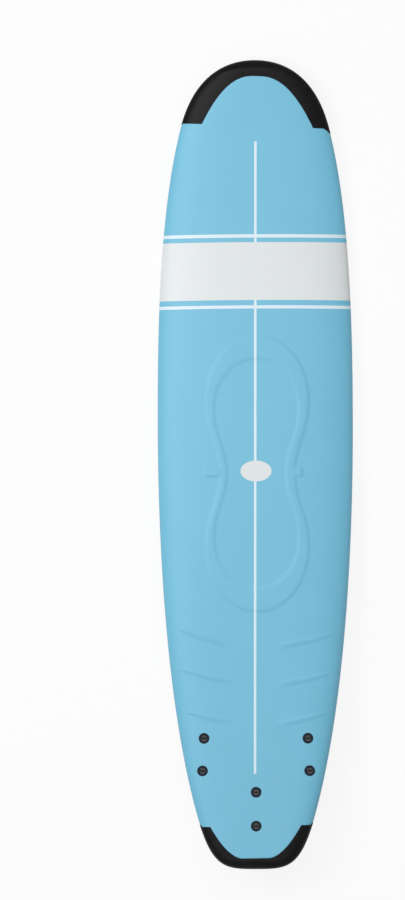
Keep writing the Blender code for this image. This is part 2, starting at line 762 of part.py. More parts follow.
def insert_profile():
    """Threaded brass insert: a waisted sleeve, flush with the top of a fin's post."""
    bore = SHANK_RADIUS + THREAD_CLEARANCE
    low = POST_HEIGHT - INSERT_HEIGHT
    middle, waist = low + INSERT_HEIGHT / 2, INSERT_RADIUS - THREAD_CLEARANCE
    return [(bore, low), (INSERT_RADIUS, low), (waist, middle), (INSERT_RADIUS, POST_HEIGHT),
            (bore, POST_HEIGHT)]


def fin_blade(cant):
    """The fin's blade: foil sections from the root down to the tip, raked back and canted."""
    lean = math.tan(math.radians(cant))
    root_front, root_rear = FIN_ROOT / 2, -FIN_ROOT / 2
    tip_rear = root_rear - FIN_RAKE
    tip_front = tip_rear + FIN_TIP
    handles = [FIN_ROOT * share for share in FIN_LEAD_HANDLES]
    front = curve((root_front, 0), FIN_LEAD_WAY, (tip_front, -1), (-1, 0), handles, FIN_LEVELS)
    rings = []
    for share in np.linspace(0, 1, FIN_LEVELS + 1):
        fall = math.sin(share * math.pi / 2)
        y_front = np.interp(fall, np.linspace(0, 1, FIN_LEVELS + 1), front[:, 0])
        y_rear = root_rear + (tip_rear - root_rear) * fall**FIN_SWEEP_POWER
        z = FOOT_HEIGHT / 2 + (FIN_DEPTH - FOOT_HEIGHT / 2) * fall
        chord = y_front - y_rear
        thick = FIN_THICKNESS + (FIN_TIP_THICKNESS - FIN_THICKNESS) * fall
        side = []
        for c in FOIL_CHORDS:
            swell = 2 * thick * (math.sqrt(c) - c)
            side.append((swell + FIN_EDGE / 2 * c, y_front - c * chord))
        loop = [(0.0, y_front)] + side + [(-x, y) for x, y in side[::-1]]
        rings.append([(x + lean * z, y, -z) for x, y in loop])
    return rings


def make_fin(name, frame, pitch, cant, look):
    """A moulded fin: blade, foot and two hollow posts in one, with its origin on the bottom."""
    foot_half = pitch / 2 + FOOT_OVERHANG - FOOT_WIDTH / 2
    arc = [math.radians(a) for a in range(0, 181, FOOT_ARC_STEP)]
    r = FOOT_WIDTH / 2
    outline = [(r * math.cos(a), foot_half + r * math.sin(a)) for a in arc]
    outline += [(-x, -y) for x, y in outline]
    levels_down = [(outline, -GAP), (outline, -FOOT_HEIGHT / 2),
                   (offset_path(outline, FOOT_HEIGHT / 2, True), -FOOT_HEIGHT)]
    fin = add_object(name, tube(name, [[(x, y, z) for x, y in path] for path, z in levels_down]), look)
    pieces = [cutter(f"{name}_blade", tube(f"{name}_blade", fin_blade(cant)))]
    combine(fin, pieces[0], "UNION")
    low = POST_HEIGHT - INSERT_HEIGHT - GAP
    wide, narrow = INSERT_RADIUS + GAP, SHANK_RADIUS + SHANK_CLEARANCE
    for place, y in (("front", pitch / 2), ("rear", -pitch / 2)):
        stud = [(0, -FOOT_HEIGHT / 2), (POST_RADIUS, -FOOT_HEIGHT / 2), (POST_RADIUS, POST_HEIGHT),
                (0, POST_HEIGHT)]
        well = [(0, low / 2), (narrow, low / 2), (narrow, low), (wide, low), (wide, 2 * POST_HEIGHT),
                (0, 2 * POST_HEIGHT)]
        post = revolve(f"{name}_{place}_post", stud)
        hole = revolve(f"{name}_{place}_hole", well)
        for mesh, operation in ((post, "UNION"), (hole, "DIFFERENCE")):
            mesh.transform(Matrix.Translation((0, y, 0)))
            pieces.append(cutter(mesh.name, mesh))
            combine(fin, pieces[-1], operation)
    for piece in [fin] + pieces:
        piece.matrix_local = frame


def centre_of_mass_y():
    """Where the blank's bulk balances along the board."""
    stations = np.linspace(-HALF, HALF, BALANCE_STATIONS)
    bulk = np.array([half_width(y) * (levels(y)[2] - levels(y)[0]) for y in stations])
    return float((bulk * stations).sum() / bulk.sum())


def rest_matrix():
    """Carries the board to its rest: on its fins' tips and its belly, over the world's origin."""
    low_points = [(float(ring[0][1]), float(ring[0][2])) for ring in RINGS]
    for frame, _, cant in FINS.values():
        low_points += [tuple((frame @ Vector(point))[1:]) for point in fin_blade(cant)[-1]]
    balance = centre_of_mass_y()
    pairs = [(a, b) for a in low_points for b in low_points if a[0] < balance < b[0]]

    def clear_of_all(pair):
        (y0, z0), (y1, z1) = pair
        return min(z - z0 - (z1 - z0) * (y - y0) / (y1 - y0) for y, z in low_points) > -TOUCHING

    (y0, z0), (y1, z1) = next(pair for pair in pairs if clear_of_all(pair))
    turn = Matrix.Rotation(-math.atan2(z1 - z0, y1 - y0), 4, "X")
    outer, tips = inset(np.full_like(LAYERS, -BUMPER_PROUD))
    ends = [turn @ Vector(point) for point in [*tips, *outer[0], *outer[-1]]]
    middle = (max(point.y for point in ends) + min(point.y for point in ends)) / 2
    floor = (turn @ Vector((0, y0, z0))).z
    return Matrix.Translation((0, -middle, -floor)) @ turn


def main():
    clear_scene()
    foam = material("blank_foam", (0.88, 0.88, 0.86), 0.8)
    wood = material("stringer_wood", (0.50, 0.33, 0.17), 0.6)
    blue = material("deck_foam", (0.21, 0.53, 0.73), 0.75)
    white = material("slick_sheet", (0.80, 0.81, 0.81), 0.3)
    rubber = material("bumper_rubber", (0.02, 0.02, 0.02), 0.6)
    navy = material("plug_plastic", (0.015, 0.02, 0.03), 0.5)
    grey = material("screw_metal", (0.06, 0.07, 0.08), 0.4, 0.6)
    black = material("fin_plastic", (0.02, 0.02, 0.022), 0.45)
    brass = material("insert_brass", (0.60, 0.42, 0.15), 0.35, 1.0)

    board = bpy.data.objects.new("board_at_rest", None)
    bpy.context.scene.collection.objects.link(board)

    bores = make_bores()
    trims = make_trims()
    relief = [make_band(), *make_tabs(), *make_ribs()]
    skin, sheet = make_deck_skin(blue), make_bottom_sheet(white)
    for piece in relief:
        combine(skin, piece, "UNION")
    for piece in (skin, sheet):
        for trim in trims:
            combine(piece, trim, "DIFFERENCE")
        combine(piece, bores, "DIFFERENCE")
    make_blank(foam, wood, bores)
    make_bumper("nose_bumper", rubber, NOSE_EDGE, True)
    make_bumper("tail_bumper", rubber, TAIL_EDGE, False)

    for name, (frame, height) in BOLTS.items():
        make_turned(f"deck_plug_{name}", frame, plug_profile(height), navy)
        make_turned(f"bottom_socket_{name}", frame, socket_profile(), navy)
        make_turned(f"threaded_insert_{name}", frame, insert_profile(), brass)
        make_screw(f"fin_screw_{name}", frame, height, grey)
    for name, (frame, pitch, cant) in FINS.items():
        make_fin(name, frame, pitch, cant, black)

    for thing in bpy.context.scene.collection.objects:
        if thing is not board:
            thing.parent = board
    board.matrix_world = rest_matrix()
    bpy.context.view_layer.update()


main()
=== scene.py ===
# %% [markdown]
# # An eight-foot soft-top surfboard, piece by piece
#
# This lesson dresses a imported model of a soft-top surfboard. The imported model is the frame: it
# holds every solid of the board, its place and its joints. Each visible piece is then made again
# here with a finer surface and a real finish, and hangs on an empty that stands for its body.
#
# The board is worked on in its own frame: x to its right rail, y towards the nose and z up
# through the deck. At the end each piece is carried to the pose in which the board rests on a
# floor. All sizes are in metres.

# %% Load the imported model
import json
import math
from functools import partial

import bpy
import numpy as np
from mathutils import Matrix, Vector


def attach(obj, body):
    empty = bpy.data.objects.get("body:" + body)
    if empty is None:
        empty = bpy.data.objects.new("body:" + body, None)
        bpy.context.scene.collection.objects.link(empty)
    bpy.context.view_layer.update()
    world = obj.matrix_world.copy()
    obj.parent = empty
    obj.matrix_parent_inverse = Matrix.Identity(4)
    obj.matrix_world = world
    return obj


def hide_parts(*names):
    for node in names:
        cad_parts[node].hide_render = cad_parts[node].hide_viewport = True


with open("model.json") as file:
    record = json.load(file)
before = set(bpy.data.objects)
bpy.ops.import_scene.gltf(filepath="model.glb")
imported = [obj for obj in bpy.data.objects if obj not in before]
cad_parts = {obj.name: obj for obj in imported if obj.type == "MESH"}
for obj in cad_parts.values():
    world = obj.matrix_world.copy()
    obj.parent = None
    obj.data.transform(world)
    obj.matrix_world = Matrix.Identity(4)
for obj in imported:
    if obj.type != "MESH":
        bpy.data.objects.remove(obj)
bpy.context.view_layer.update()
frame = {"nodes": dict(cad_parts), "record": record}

# %% [markdown]
# ## Where the board lies
#
# The board rests on its two side fins and on the front of its belly, so it is pitched nose down
# by a few degrees. The record's belly mount holds one point of the flat bottom and the way it
# faces, and those two give the whole rest pose.

# %% The board's rest pose
BELLY_ON_BOARD = Vector((0.01, 0.05, 0.0))
belly = next(mount for mount in frame["record"]["mounts"] if mount["name"] == "belly")
PITCH = math.asin(belly["axis"][1])
TURN = Matrix.Rotation(PITCH, 4, "X")
TO_WORLD = Matrix.Translation(Vector(belly["pos_m"]) - TURN @ BELLY_ON_BOARD) @ TURN
TO_BOARD = TO_WORLD.inverted()
print("pitch:", round(math.degrees(PITCH), 3), "origin:", np.round(TO_WORLD.translation, 4))

# %% [markdown]
# ## The camera
#
# The photograph looks straight down on the deck from far away, with the nose at the top, and the
# board lies a little to the right of the middle. So the camera stands thirty metres above the
# deck with a long lens, turned with the board, and moved to the board's left.

# %% The camera over the deck
CAMERA_LENS, CAMERA_REACH = 400, 200
CAMERA_AT = (-0.1597, 0.0455, 30.26)
CAMERA_ROLL = math.radians(-0.12)


def put_in_scene(name, data):
    """An object for a new camera or lamp."""
    made = bpy.data.objects.new(name, data)
    bpy.context.scene.collection.objects.link(made)
    return made


camera = put_in_scene("camera_over_deck", bpy.data.cameras.new("camera_over_deck"))
camera.data.lens = CAMERA_LENS
camera.data.clip_end = CAMERA_REACH
place = TO_WORLD @ Matrix.Translation(CAMERA_AT)
camera.matrix_world = place @ Matrix.Rotation(CAMERA_ROLL, 4, "Z")
bpy.context.scene.camera = camera
bpy.context.scene.view_settings.view_transform = "Standard"
print("camera at", np.round(place.translation, 3))

# %% [markdown]
# ## The plan shape
#
# A surfboard's outline is drawn with four smooth curves on each side: tip to nose shoulder, to
# the widest point, to the tail shoulder, to the end of the tail. A cubic curve is set by its two
# ends, by the ways it leaves and arrives, and by how long it holds to them.

# %% The plan shape
LENGTH = 2.438
WIDTH = 0.590
HALF = LENGTH / 2
WIDE_POINT = 0.124
NOSE_SHOULDER = (0.223, HALF - 0.201)
NOSE_SHOULDER_TURN = math.radians(75.2)
TAIL_SHOULDER = (0.1874, 0.196 - HALF)
TAIL_SHOULDER_TURN = math.radians(75.6)
PLAN_HANDLES = ((0.079, 0.170), (0.268, 0.247), (0.364, 0.335), (0.200, 0.103))
PLAN_STEPS = 400


def curve(start, start_way, end, end_way, handles, steps):
    """Points of a cubic curve that leaves and arrives along the given ways."""
    first, last = np.array(start), np.array(end)
    near = first + handles[0] * np.array(start_way)
    far = last - handles[1] * np.array(end_way)
    t = np.linspace(0, 1, steps + 1)[:, None]
    s = 1 - t
    return s**3 * first + 3 * s * s * t * near + 3 * s * t * t * far + t**3 * last


def plan_shape():
    """The right rail from the tail end to the nose tip, as rows of (half width, y)."""
    nose_way = (math.cos(NOSE_SHOULDER_TURN), -math.sin(NOSE_SHOULDER_TURN))
    tail_way = (-math.cos(TAIL_SHOULDER_TURN), -math.sin(TAIL_SHOULDER_TURN))
    corners = [((0, HALF), (1, 0)), (NOSE_SHOULDER, nose_way), ((WIDTH / 2, WIDE_POINT), (0, -1)),
               (TAIL_SHOULDER, tail_way), ((0, -HALF), (-1, 0))]
    parts = [curve(*a, *b, handles, PLAN_STEPS)
             for a, b, handles in zip(corners, corners[1:], PLAN_HANDLES)]
    return np.vstack(parts)[::-1]


PLAN = plan_shape()


def half_width(y):
    """Half the board's width at y."""
    return np.interp(y, PLAN[:, 1], PLAN[:, 0])


print("half width at nose, middle and tail:", np.round(half_width(np.array([1.0, 0.0, -1.0])), 4))

# %% [markdown]
# ## Foil, rocker and section
#
# Seen from the side the board thins towards both ends (its foil) and both ends lift (its rocker).
# Across, the bottom is flat, the lower rail tucks up in a quarter ellipse, and the deck is a dome
# that grows flatter towards the tail. One function gives any point of this skin, so that every
# piece that lies on it uses the same surface.

# %% Foil and rocker
THICKNESS, NOSE_THICKNESS, TAIL_THICKNESS = 0.085, 0.048, 0.046
FOIL_POWER = 2.2
NOSE_ROUND, TAIL_ROUND = 0.035, 0.026
NOSE_ROCKER, NOSE_ROCKER_POWER = 0.112, 2.4
TAIL_ROCKER, TAIL_ROCKER_POWER = 0.058, 2.3
ROCKER_START = 0.130
APEX_SHARE = 0.42


def soft_step(t):
    """0 up to 0, 1 from 1 on, and smooth between."""
    t = np.clip(t, 0, 1)
    return t * t * (3 - 2 * t)


def blend(y):
    """0 at the tail end and 1 from the widest point on, with soft ends."""
    return soft_step((y + HALF) / (WIDE_POINT + HALF))


def rocker(y):
    """How far the bottom lifts at y."""
    ahead, behind = (np.clip((way * y - ROCKER_START) / (HALF - ROCKER_START), 0, None)
                     for way in (1, -1))
    return NOSE_ROCKER * ahead**NOSE_ROCKER_POWER + TAIL_ROCKER * behind**TAIL_ROCKER_POWER


def levels(y):
    """The bottom, the rail's apex and the top of the deck at y."""
    ahead = y > WIDE_POINT
    span = np.where(ahead, HALF - WIDE_POINT, HALF + WIDE_POINT)
    end = np.where(ahead, NOSE_THICKNESS, TAIL_THICKNESS)
    foil = THICKNESS - (THICKNESS - end) * (np.abs(y - WIDE_POINT) / span) ** FOIL_POWER
    left = np.clip(1 - (HALF - np.abs(y)) / np.where(ahead, NOSE_ROUND, TAIL_ROUND), 0, 1)
    closing = np.sqrt(1 - left * left)
    apex = rocker(y) + APEX_SHARE * foil
    return apex - APEX_SHARE * foil * closing, apex, apex + (1 - APEX_SHARE) * foil * closing


print("bottom, apex and top amidships:", np.round(levels(np.array(0.0)), 4))

# %% The board's surface
RAIL_TUCK, TAIL_TUCK, TUCK_LIMIT = 0.060, 0.020, 0.6
DECK_POWER, TAIL_DECK_POWER, RAIL_POWER = 3.0, 7.0, 2.4
DOME_END = 0.93
SIDE, APEX, SEAM, KEEL = 1, 2, 3, 4
TINY = 1e-6


def deck_power(y):
    """How flat the deck's dome is at y."""
    return TAIL_DECK_POWER + (DECK_POWER - TAIL_DECK_POWER) * blend(y)


def dome(share, y):
    """The deck's height at a share of the half width."""
    _, apex, top = levels(y)
    inside = np.clip(1 - np.abs(share) ** deck_power(y), 0, 1)
    return apex + (top - apex) * inside ** (1 / RAIL_POWER)


def deck_height(x, y):
    """The height of the deck over a point of the plan."""
    return dome(x / np.maximum(half_width(y), TINY), y)


def hull(around, y):
    """Points of the board's surface. around runs from 0 at the deck's middle to SIDE near the
    rail, APEX on the rail, SEAM under it and KEEL at the bottom's middle, negative on the left."""
    side = np.abs(around)
    half, power = half_width(y), deck_power(y)
    bottom, apex, _ = levels(y)
    tuck = np.minimum(TAIL_TUCK + (RAIL_TUCK - TAIL_TUCK) * blend(y), TUCK_LIMIT * half)
    angle = np.arccos(DOME_END ** (power / 2)) * np.clip(APEX - side, 0, 1)
    share = np.where(side < SIDE, DOME_END * side, np.cos(angle) ** (2 / power))
    swing = math.pi / 2 * np.clip(SEAM - side, 0, 1)
    flat = (half - tuck) * np.clip(KEEL - side, 0, 1)
    parts = [side < APEX, side < SEAM]
    x = np.select(parts, [share * half, half - tuck + tuck * np.sin(swing)], flat)
    z = np.select(parts, [dome(share, y), apex - (apex - bottom) * np.cos(swing)], bottom)
    return np.stack(np.broadcast_arrays(np.copysign(x, around), y, z), axis=-1)


print("seam amidships:", np.round(hull(np.array(SEAM), np.array(0.0)), 4))

# %% [markdown]
# ## Working by hand in code
#
# Operators act on what is selected, so every step starts with nothing selected. A few helpers
# do what a modeller does between steps: add a primitive, step into edit mode, choose parts by
# their place, and finish a modifier.

# %% Small helpers for the operators
SHARP_ANGLE, BEVEL_STEPS = math.radians(40), 2
SAME_PLACE = 1e-5


def pick_up(piece):
    """Selects one piece alone and makes it active."""
    bpy.ops.object.select_all(action="DESELECT")
    piece.select_set(True)
    bpy.context.view_layer.objects.active = piece


def add(name, primitive, **settings):
    """Adds a primitive with nothing else selected, and names it."""
    bpy.ops.object.select_all(action="DESELECT")
    primitive(**settings)
    piece = bpy.context.object
    piece.name = piece.data.name = name
    return piece


def choose_all():
    """Selects the whole mesh in edit mode."""
    bpy.ops.mesh.select_all(action="SELECT")


def edit(piece, *steps, kind=None):
    """Runs steps in edit mode, on the whole mesh or on what is selected already of one kind."""
    pick_up(piece)
    bpy.ops.object.mode_set(mode="EDIT")
    if kind:
        bpy.ops.mesh.select_mode(type=kind)
    else:
        choose_all()
    for step in steps:
        step()
    bpy.ops.mesh.select_mode(type="VERT")
    bpy.ops.object.mode_set(mode="OBJECT")


def points_of(piece):
    """The places of a piece's vertices as an array."""
    flat = np.empty(3 * len(piece.data.vertices))
    piece.data.vertices.foreach_get("co", flat)
    return flat.reshape(-1, 3)


def set_points(piece, points):
    """Puts a piece's vertices at these places."""
    piece.data.vertices.foreach_set("co", np.asarray(points, dtype=float).ravel())
    piece.data.update()


def select_edges(piece, chosen):
    """Selects only the edges whose ends are both among the chosen vertices."""
    mesh = piece.data
    ends = np.empty(2 * len(mesh.edges), int)
    mesh.edges.foreach_get("vertices", ends)
    mesh.vertices.foreach_set("select", chosen)
    mesh.edges.foreach_set("select", chosen[ends.reshape(-1, 2)].all(axis=1))
    mesh.polygons.foreach_set("select", np.zeros(len(mesh.polygons), bool))


def select_squares(piece, chosen):
    """Selects only the faces of a grid whose four corners are among the chosen vertices."""
    mesh = piece.data
    corners = np.empty(len(mesh.loops), int)
    mesh.loops.foreach_get("vertex_index", corners)
    for parts in (mesh.vertices, mesh.edges):
        parts.foreach_set("select", np.zeros(len(parts), bool))
    mesh.polygons.foreach_set("select", chosen[corners.reshape(-1, 4)].all(axis=1))


def merge_doubles(distance=SAME_PLACE):
    """Merges the selected vertices that lie on each other."""
    bpy.ops.mesh.remove_doubles(threshold=distance)


def face_out():
    """Turns the selected faces outwards."""
    bpy.ops.mesh.normals_make_consistent(inside=False)


def finish_modifier(piece, kind, **settings):
    """Adds a modifier with these settings and applies it."""
    pick_up(piece)
    made = piece.modifiers.new(kind.lower(), kind)
    for name, value in settings.items():
        setattr(made, name, value)
    bpy.ops.object.modifier_apply(modifier=made.name)


def soften_edges(piece, width, segments=BEVEL_STEPS):
    """Rounds the sharp edges, as moulding and handling do."""
    finish_modifier(piece, "BEVEL", width=width, segments=segments, limit_method="ANGLE",
                    angle_limit=SHARP_ANGLE, harden_normals=False)


def place_at(piece, matrix):
    """Carries a piece to a place and puts that place into its mesh."""
    pick_up(piece)
    piece.matrix_world = matrix
    bpy.ops.object.transform_apply()


def hand_over(piece, body, slot, node_name, place=TO_WORLD, sharp=35):
    """Shades a piece smooth but for its sharp edges, carries it to the rest pose, hangs it on its
    body, gives it its finish and hides the imported node that it takes the place of."""
    pick_up(piece)
    bpy.ops.object.shade_smooth_by_angle(angle=math.radians(sharp))
    place_at(piece, place)
    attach(piece, body)
    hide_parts(node_name)
    piece.data.materials.clear()
    piece.data.materials.append(FINISHES[slot])
    count = sum(len(face.vertices) - 2 for face in piece.data.polygons)
    print(f"{piece.name}: {count} triangles, rides on {body}")


# %% [markdown]
# ## Finishes
#
# Each material is a small graph of nodes. One helper starts a material and gives the place on the
# board that its patterns follow, one adds a node and joins it up, and one joins the results to
# the shader.

# %% Helpers for materials
FINISHES = {}


def node(finish, kind, sockets=None, **options):
    """Adds a node. Options are its settings. Sockets take a number, a colour or another socket."""
    made = finish.node_tree.nodes.new(kind)
    for option, value in options.items():
        setattr(made, option, value)
    for socket, value in (sockets or {}).items():
        if isinstance(value, bpy.types.NodeSocket):
            finish.node_tree.links.new(value, made.inputs[socket])
        else:
            made.inputs[socket].default_value = value
    return made


def start_finish(slot, name, roughness, metallic=0.0, shine=0.5):
    """A new material, and a piece's own place on the board: its object coordinates turned back
    from the rest pose. Shine is how strongly the surface mirrors."""
    finish = FINISHES[slot] = bpy.data.materials.new(name)
    finish.use_nodes = True
    shader = finish.node_tree.nodes["Principled BSDF"].inputs
    shader["Roughness"].default_value = roughness
    shader["Metallic"].default_value = metallic
    shader["Specular IOR Level"].default_value = shine
    back = {"Vector": node(finish, "ShaderNodeTexCoord").outputs["Object"],
            "Rotation": tuple(TO_BOARD.to_euler()), "Location": tuple(TO_BOARD.translation)}
    return finish, node(finish, "ShaderNodeMapping", back).outputs[0]


def end_finish(finish, colour, height, depth, strength, rough=None):
    """Joins a colour and a relief of a depth in metres. Rough is a value, its gain and its base."""
    relief = {"Height": height, "Distance": depth, "Strength": strength}
    results = {"Base Color": colour, "Normal": node(finish, "ShaderNodeBump", relief).outputs[0]}
    if rough:
        results["Roughness"] = maths(finish, "MULTIPLY_ADD", *rough)
    shader = finish.node_tree.nodes["Principled BSDF"].inputs
    for socket, result in results.items():
        finish.node_tree.links.new(result, shader[socket])


def maths(finish, operation, first, second=0.0, third=0.0):
    """One sum."""
    sockets = {0: first, 1: second, 2: third}
    return node(finish, "ShaderNodeMath", sockets, operation=operation).outputs[0]


def mix(finish, factor, first, second):
    """A colour between two others."""
    sockets = {0: factor, 6: first, 7: second}
    return node(finish, "ShaderNodeMix", sockets, data_type="RGBA").outputs[2]


def spread(finish, value, low, high):
    """Spreads the values between two limits over 0 to 1."""
    sockets = {"Value": value, "From Min": low, "From Max": high}
    return node(finish, "ShaderNodeMapRange", sockets).outputs[0]


def stretched(finish, place, scale):
    """A place whose three axes are scaled, for patterns that run one way."""
    return node(finish, "ShaderNodeMapping", {"Vector": place, "Scale": scale}).outputs[0]


def noise(finish, place, scale, detail=2.0, roughness=0.5):
    """A soft random pattern. Its scale is in spots per metre."""
    sockets = {"Vector": place, "Scale": scale, "Detail": detail, "Roughness": roughness}
    return node(finish, "ShaderNodeTexNoise", sockets).outputs[0]


def cells(finish, place, scale, feature="F1"):
    """Distance in a pattern of random cells. Its scale is in cells per metre."""
    sockets = {"Vector": place, "Scale": scale}
    return node(finish, "ShaderNodeTexVoronoi", sockets, feature=feature).outputs["Distance"]


# %% [markdown]
# ## Deck foam and its print
#
# The deck is a closed-cell foam sheet with a fine pebbled skin, dyed pale blue. White is printed
# on it: a long centre stripe, a broad panel between two thin lines, and one plain oval. The print
# is drawn with sums on the board's own x and y, so it wraps over the rails as real print does.

# %% The printed shapes
STRIPE_MIDDLE, STRIPE_HALF, STRIPE_ENDS = -0.0008, 0.0037, (-0.932, 0.9755)
STRIPE_SLANT = 0.0026
BARS = ((0.6910, 0.0050), (0.4770, 0.0048))
PANEL = (0.5850, 0.0872)
PRINT_BOW, PRINT_SLANT = 0.035, -0.003
OVAL_AT, OVAL_SCALE = (0.0015, -0.0182, 0), (1 / 0.0468, 1 / 0.0315, 0)


def printed_shapes(finish, place):
    """Masks of the white print: the stripe with the thin bars, and the panel with the oval."""
    times, plus, within, most, under = (
        partial(maths, finish, sum_kind)
        for sum_kind in ("MULTIPLY", "ADD", "COMPARE", "MAXIMUM", "LESS_THAN"))
    split = node(finish, "ShaderNodeSeparateXYZ", {0: place}).outputs
    x, y = split["X"], split["Y"]
    level = plus(plus(y, times(times(x, x), PRINT_BOW)), times(x, PRINT_SLANT))
    low, high = STRIPE_ENDS
    straight = maths(finish, "MULTIPLY_ADD", y, -STRIPE_SLANT, x)
    bright = times(within(straight, STRIPE_MIDDLE, STRIPE_HALF),
                   within(y, (low + high) / 2, (high - low) / 2))
    for middle, half in BARS:
        bright = most(bright, within(level, middle, half))
    reach = place
    for sum_kind, vector in (("SUBTRACT", OVAL_AT), ("MULTIPLY", OVAL_SCALE)):
        reach = node(finish, "ShaderNodeVectorMath", {0: reach, 1: vector},
                     operation=sum_kind).outputs[0]
    away = node(finish, "ShaderNodeVectorMath", {0: reach}, operation="LENGTH").outputs["Value"]
    return bright, most(within(level, *PANEL), under(away, 1.0))


# %% The deck foam
DECK_BLUE = (0.150, 0.497, 0.690, 1)
PRINT_WHITE, PANEL_WHITE = (0.725, 0.850, 0.920, 1), (0.735, 0.772, 0.785, 1)
PEBBLE_WHITE, PEBBLE_TINT = (1, 1, 1, 1), 0.04
MOTTLE = (0.97, 1.03)
DECK_ROUGHNESS, PRINT_SMOOTHER = 0.5, -0.05

foam, place = start_finish("deck_foam", "deck_foam_blue", DECK_ROUGHNESS)
pebbles = cells(foam, place, 900.0)
blue = mix(foam, noise(foam, place, 9.0, 3.0),
           *((*[level * part for part in DECK_BLUE[:3]], 1) for level in MOTTLE))
blue = mix(foam, maths(foam, "MULTIPLY", pebbles, PEBBLE_TINT), blue, PEBBLE_WHITE)
bright, panel = printed_shapes(foam, place)
colour = mix(foam, panel, mix(foam, bright, blue, PRINT_WHITE), PANEL_WHITE)
printed = maths(foam, "MAXIMUM", bright, panel)
grain = maths(foam, "ADD", pebbles, maths(foam, "MULTIPLY", noise(foam, place, 400.0), 0.6))
end_finish(foam, colour, grain, depth=0.00012, strength=0.5,
           rough=(printed, PRINT_SMOOTHER, DECK_ROUGHNESS))

# %% [markdown]
# ## Slick sheet, rubber and plastics
#
# The bottom is a slick sheet with faint waves. The bumpers are moulded rubber, black with a fine
# grain and a few paler rubs. Plugs and sockets are dark moulded plastic, and the fins are black
# with the faint flow marks of moulding.

# %% The slick sheet and the rubber
SHEET_TONES = (0.74, 0.755, 0.76, 1), (0.82, 0.83, 0.83, 1)
RUBBER_TONES = (0.0014, 0.0014, 0.0015, 1), (0.0070, 0.0068, 0.0068, 1)

sheet, place = start_finish("slick_sheet", "slick_sheet_white", 0.28)
end_finish(sheet, mix(sheet, noise(sheet, place, 5.0, 3.0), *SHEET_TONES),
           noise(sheet, place, 120.0, 3.0), depth=0.0003, strength=0.25,
           rough=(noise(sheet, place, 30.0), 0.14, 0.22))

rubber, place = start_finish("bumper_rubber", "bumper_rubber_black", 0.42, shine=0.10)
rubs = spread(rubber, noise(rubber, place, 35.0, 6.0, 0.65), 0.45, 0.75)
grain = maths(rubber, "ADD", cells(rubber, place, 1100.0), noise(rubber, place, 500.0))
end_finish(rubber, mix(rubber, rubs, *RUBBER_TONES), grain, depth=0.00015, strength=0.5,
           rough=(rubs, 0.10, 0.38))

# %% The plastics
FLOW_STRETCH = (1.0, 0.25, 1.0)
PLUG_TONES = (0.003, 0.008, 0.017, 1), (0.007, 0.014, 0.026, 1)
FIN_TONES = (0.013, 0.013, 0.015, 1), (0.026, 0.026, 0.028, 1)


def make_plastic(slot, name, tones, roughness, shine, grain_scale, flow_scale):
    """Moulded plastic: two close tones in long flow marks and a fine spark-eroded grain."""
    finish, place = start_finish(slot, name, roughness, shine=shine)
    tone = noise(finish, stretched(finish, place, FLOW_STRETCH), flow_scale, 4.0)
    end_finish(finish, mix(finish, tone, *tones), noise(finish, place, grain_scale, 3.0),
               depth=0.00008, strength=0.45, rough=(tone, 0.16, roughness - 0.08))


make_plastic("plug_plastic", "plug_plastic_navy", PLUG_TONES, roughness=0.46, shine=0.12,
             grain_scale=1500.0, flow_scale=60.0)
make_plastic("fin_plastic", "fin_plastic_black", FIN_TONES, roughness=0.42, shine=0.35,
             grain_scale=900.0, flow_scale=40.0)

# %% [markdown]
# ## Metals, foam beads and wood
#
# The screws are dark coated metal and the inserts are turned brass. Both have a fine speckle and
# a few worn spots, and painted shade darkens their colour where they are hollow. Inside, out of
# sight, the blank is white beads and the stringers are plywood. They are finished too, because
# the model can be taken apart.

# %% The metals
# Painted shade: a near-black colour, how far the shader looks for hollows, and the openness over
# which it fades out.
PAINTED_SHADE, PAINTED_SHADE_REACH, PAINTED_SHADE_RANGE = (0.002, 0.002, 0.002, 1), 0.004, (0.70, 0.98)
SCREW_TONES = (0.045, 0.045, 0.051, 1), (0.130, 0.130, 0.145, 1)
BRASS_TONES = (0.48, 0.31, 0.09, 1), (0.78, 0.58, 0.26, 1)


def make_metal(slot, name, tones, roughness, metallic=1.0, shine=0.5):
    """Metal with fine speckle and worn spots, and painted shade that darkens its colour where it is
    hollow.
    """
    finish, place = start_finish(slot, name, roughness, metallic, shine)
    speckle, worn = noise(finish, place, 1400.0, 4.0, 0.6), noise(finish, place, 180.0, 3.0)
    colour = mix(finish, maths(finish, "MULTIPLY", speckle, worn), *tones)
    # Painted shade: ambient occlusion darkens the colour in the coin slot and other hollows.
    light = node(finish, "ShaderNodeAmbientOcclusion", {"Distance": PAINTED_SHADE_REACH}).outputs["AO"]
    end_finish(finish, mix(finish, spread(finish, light, *PAINTED_SHADE_RANGE), PAINTED_SHADE, colour), speckle,
               depth=0.00003, strength=0.4, rough=(worn, 0.2, roughness - 0.1))


make_metal("screw_metal", "screw_coated_grey", SCREW_TONES, roughness=0.45, metallic=0.0,
           shine=0.10)
make_metal("insert_brass", "insert_turned_brass", BRASS_TONES, roughness=0.32)

# %% The foam beads and the plywood
BEAD_TONES, BEAD_SEAM = ((0.80, 0.81, 0.80, 1), (0.90, 0.90, 0.88, 1)), (0.66, 0.67, 0.66, 1)
WOOD_TONES, GLUE = ((0.36, 0.21, 0.10, 1), (0.62, 0.43, 0.24, 1)), (0.16, 0.09, 0.04, 1)
WOOD_STRETCH = (90.0, 3.0, 90.0)

blank, place = start_finish("blank_foam", "blank_foam_beads", 0.8)
seam = spread(blank, cells(blank, place, 260.0, "DISTANCE_TO_EDGE"), 0.0, 0.12)
bead = mix(blank, noise(blank, place, 70.0), *BEAD_TONES)
end_finish(blank, mix(blank, seam, BEAD_SEAM, bead), seam, depth=0.0004, strength=0.6)

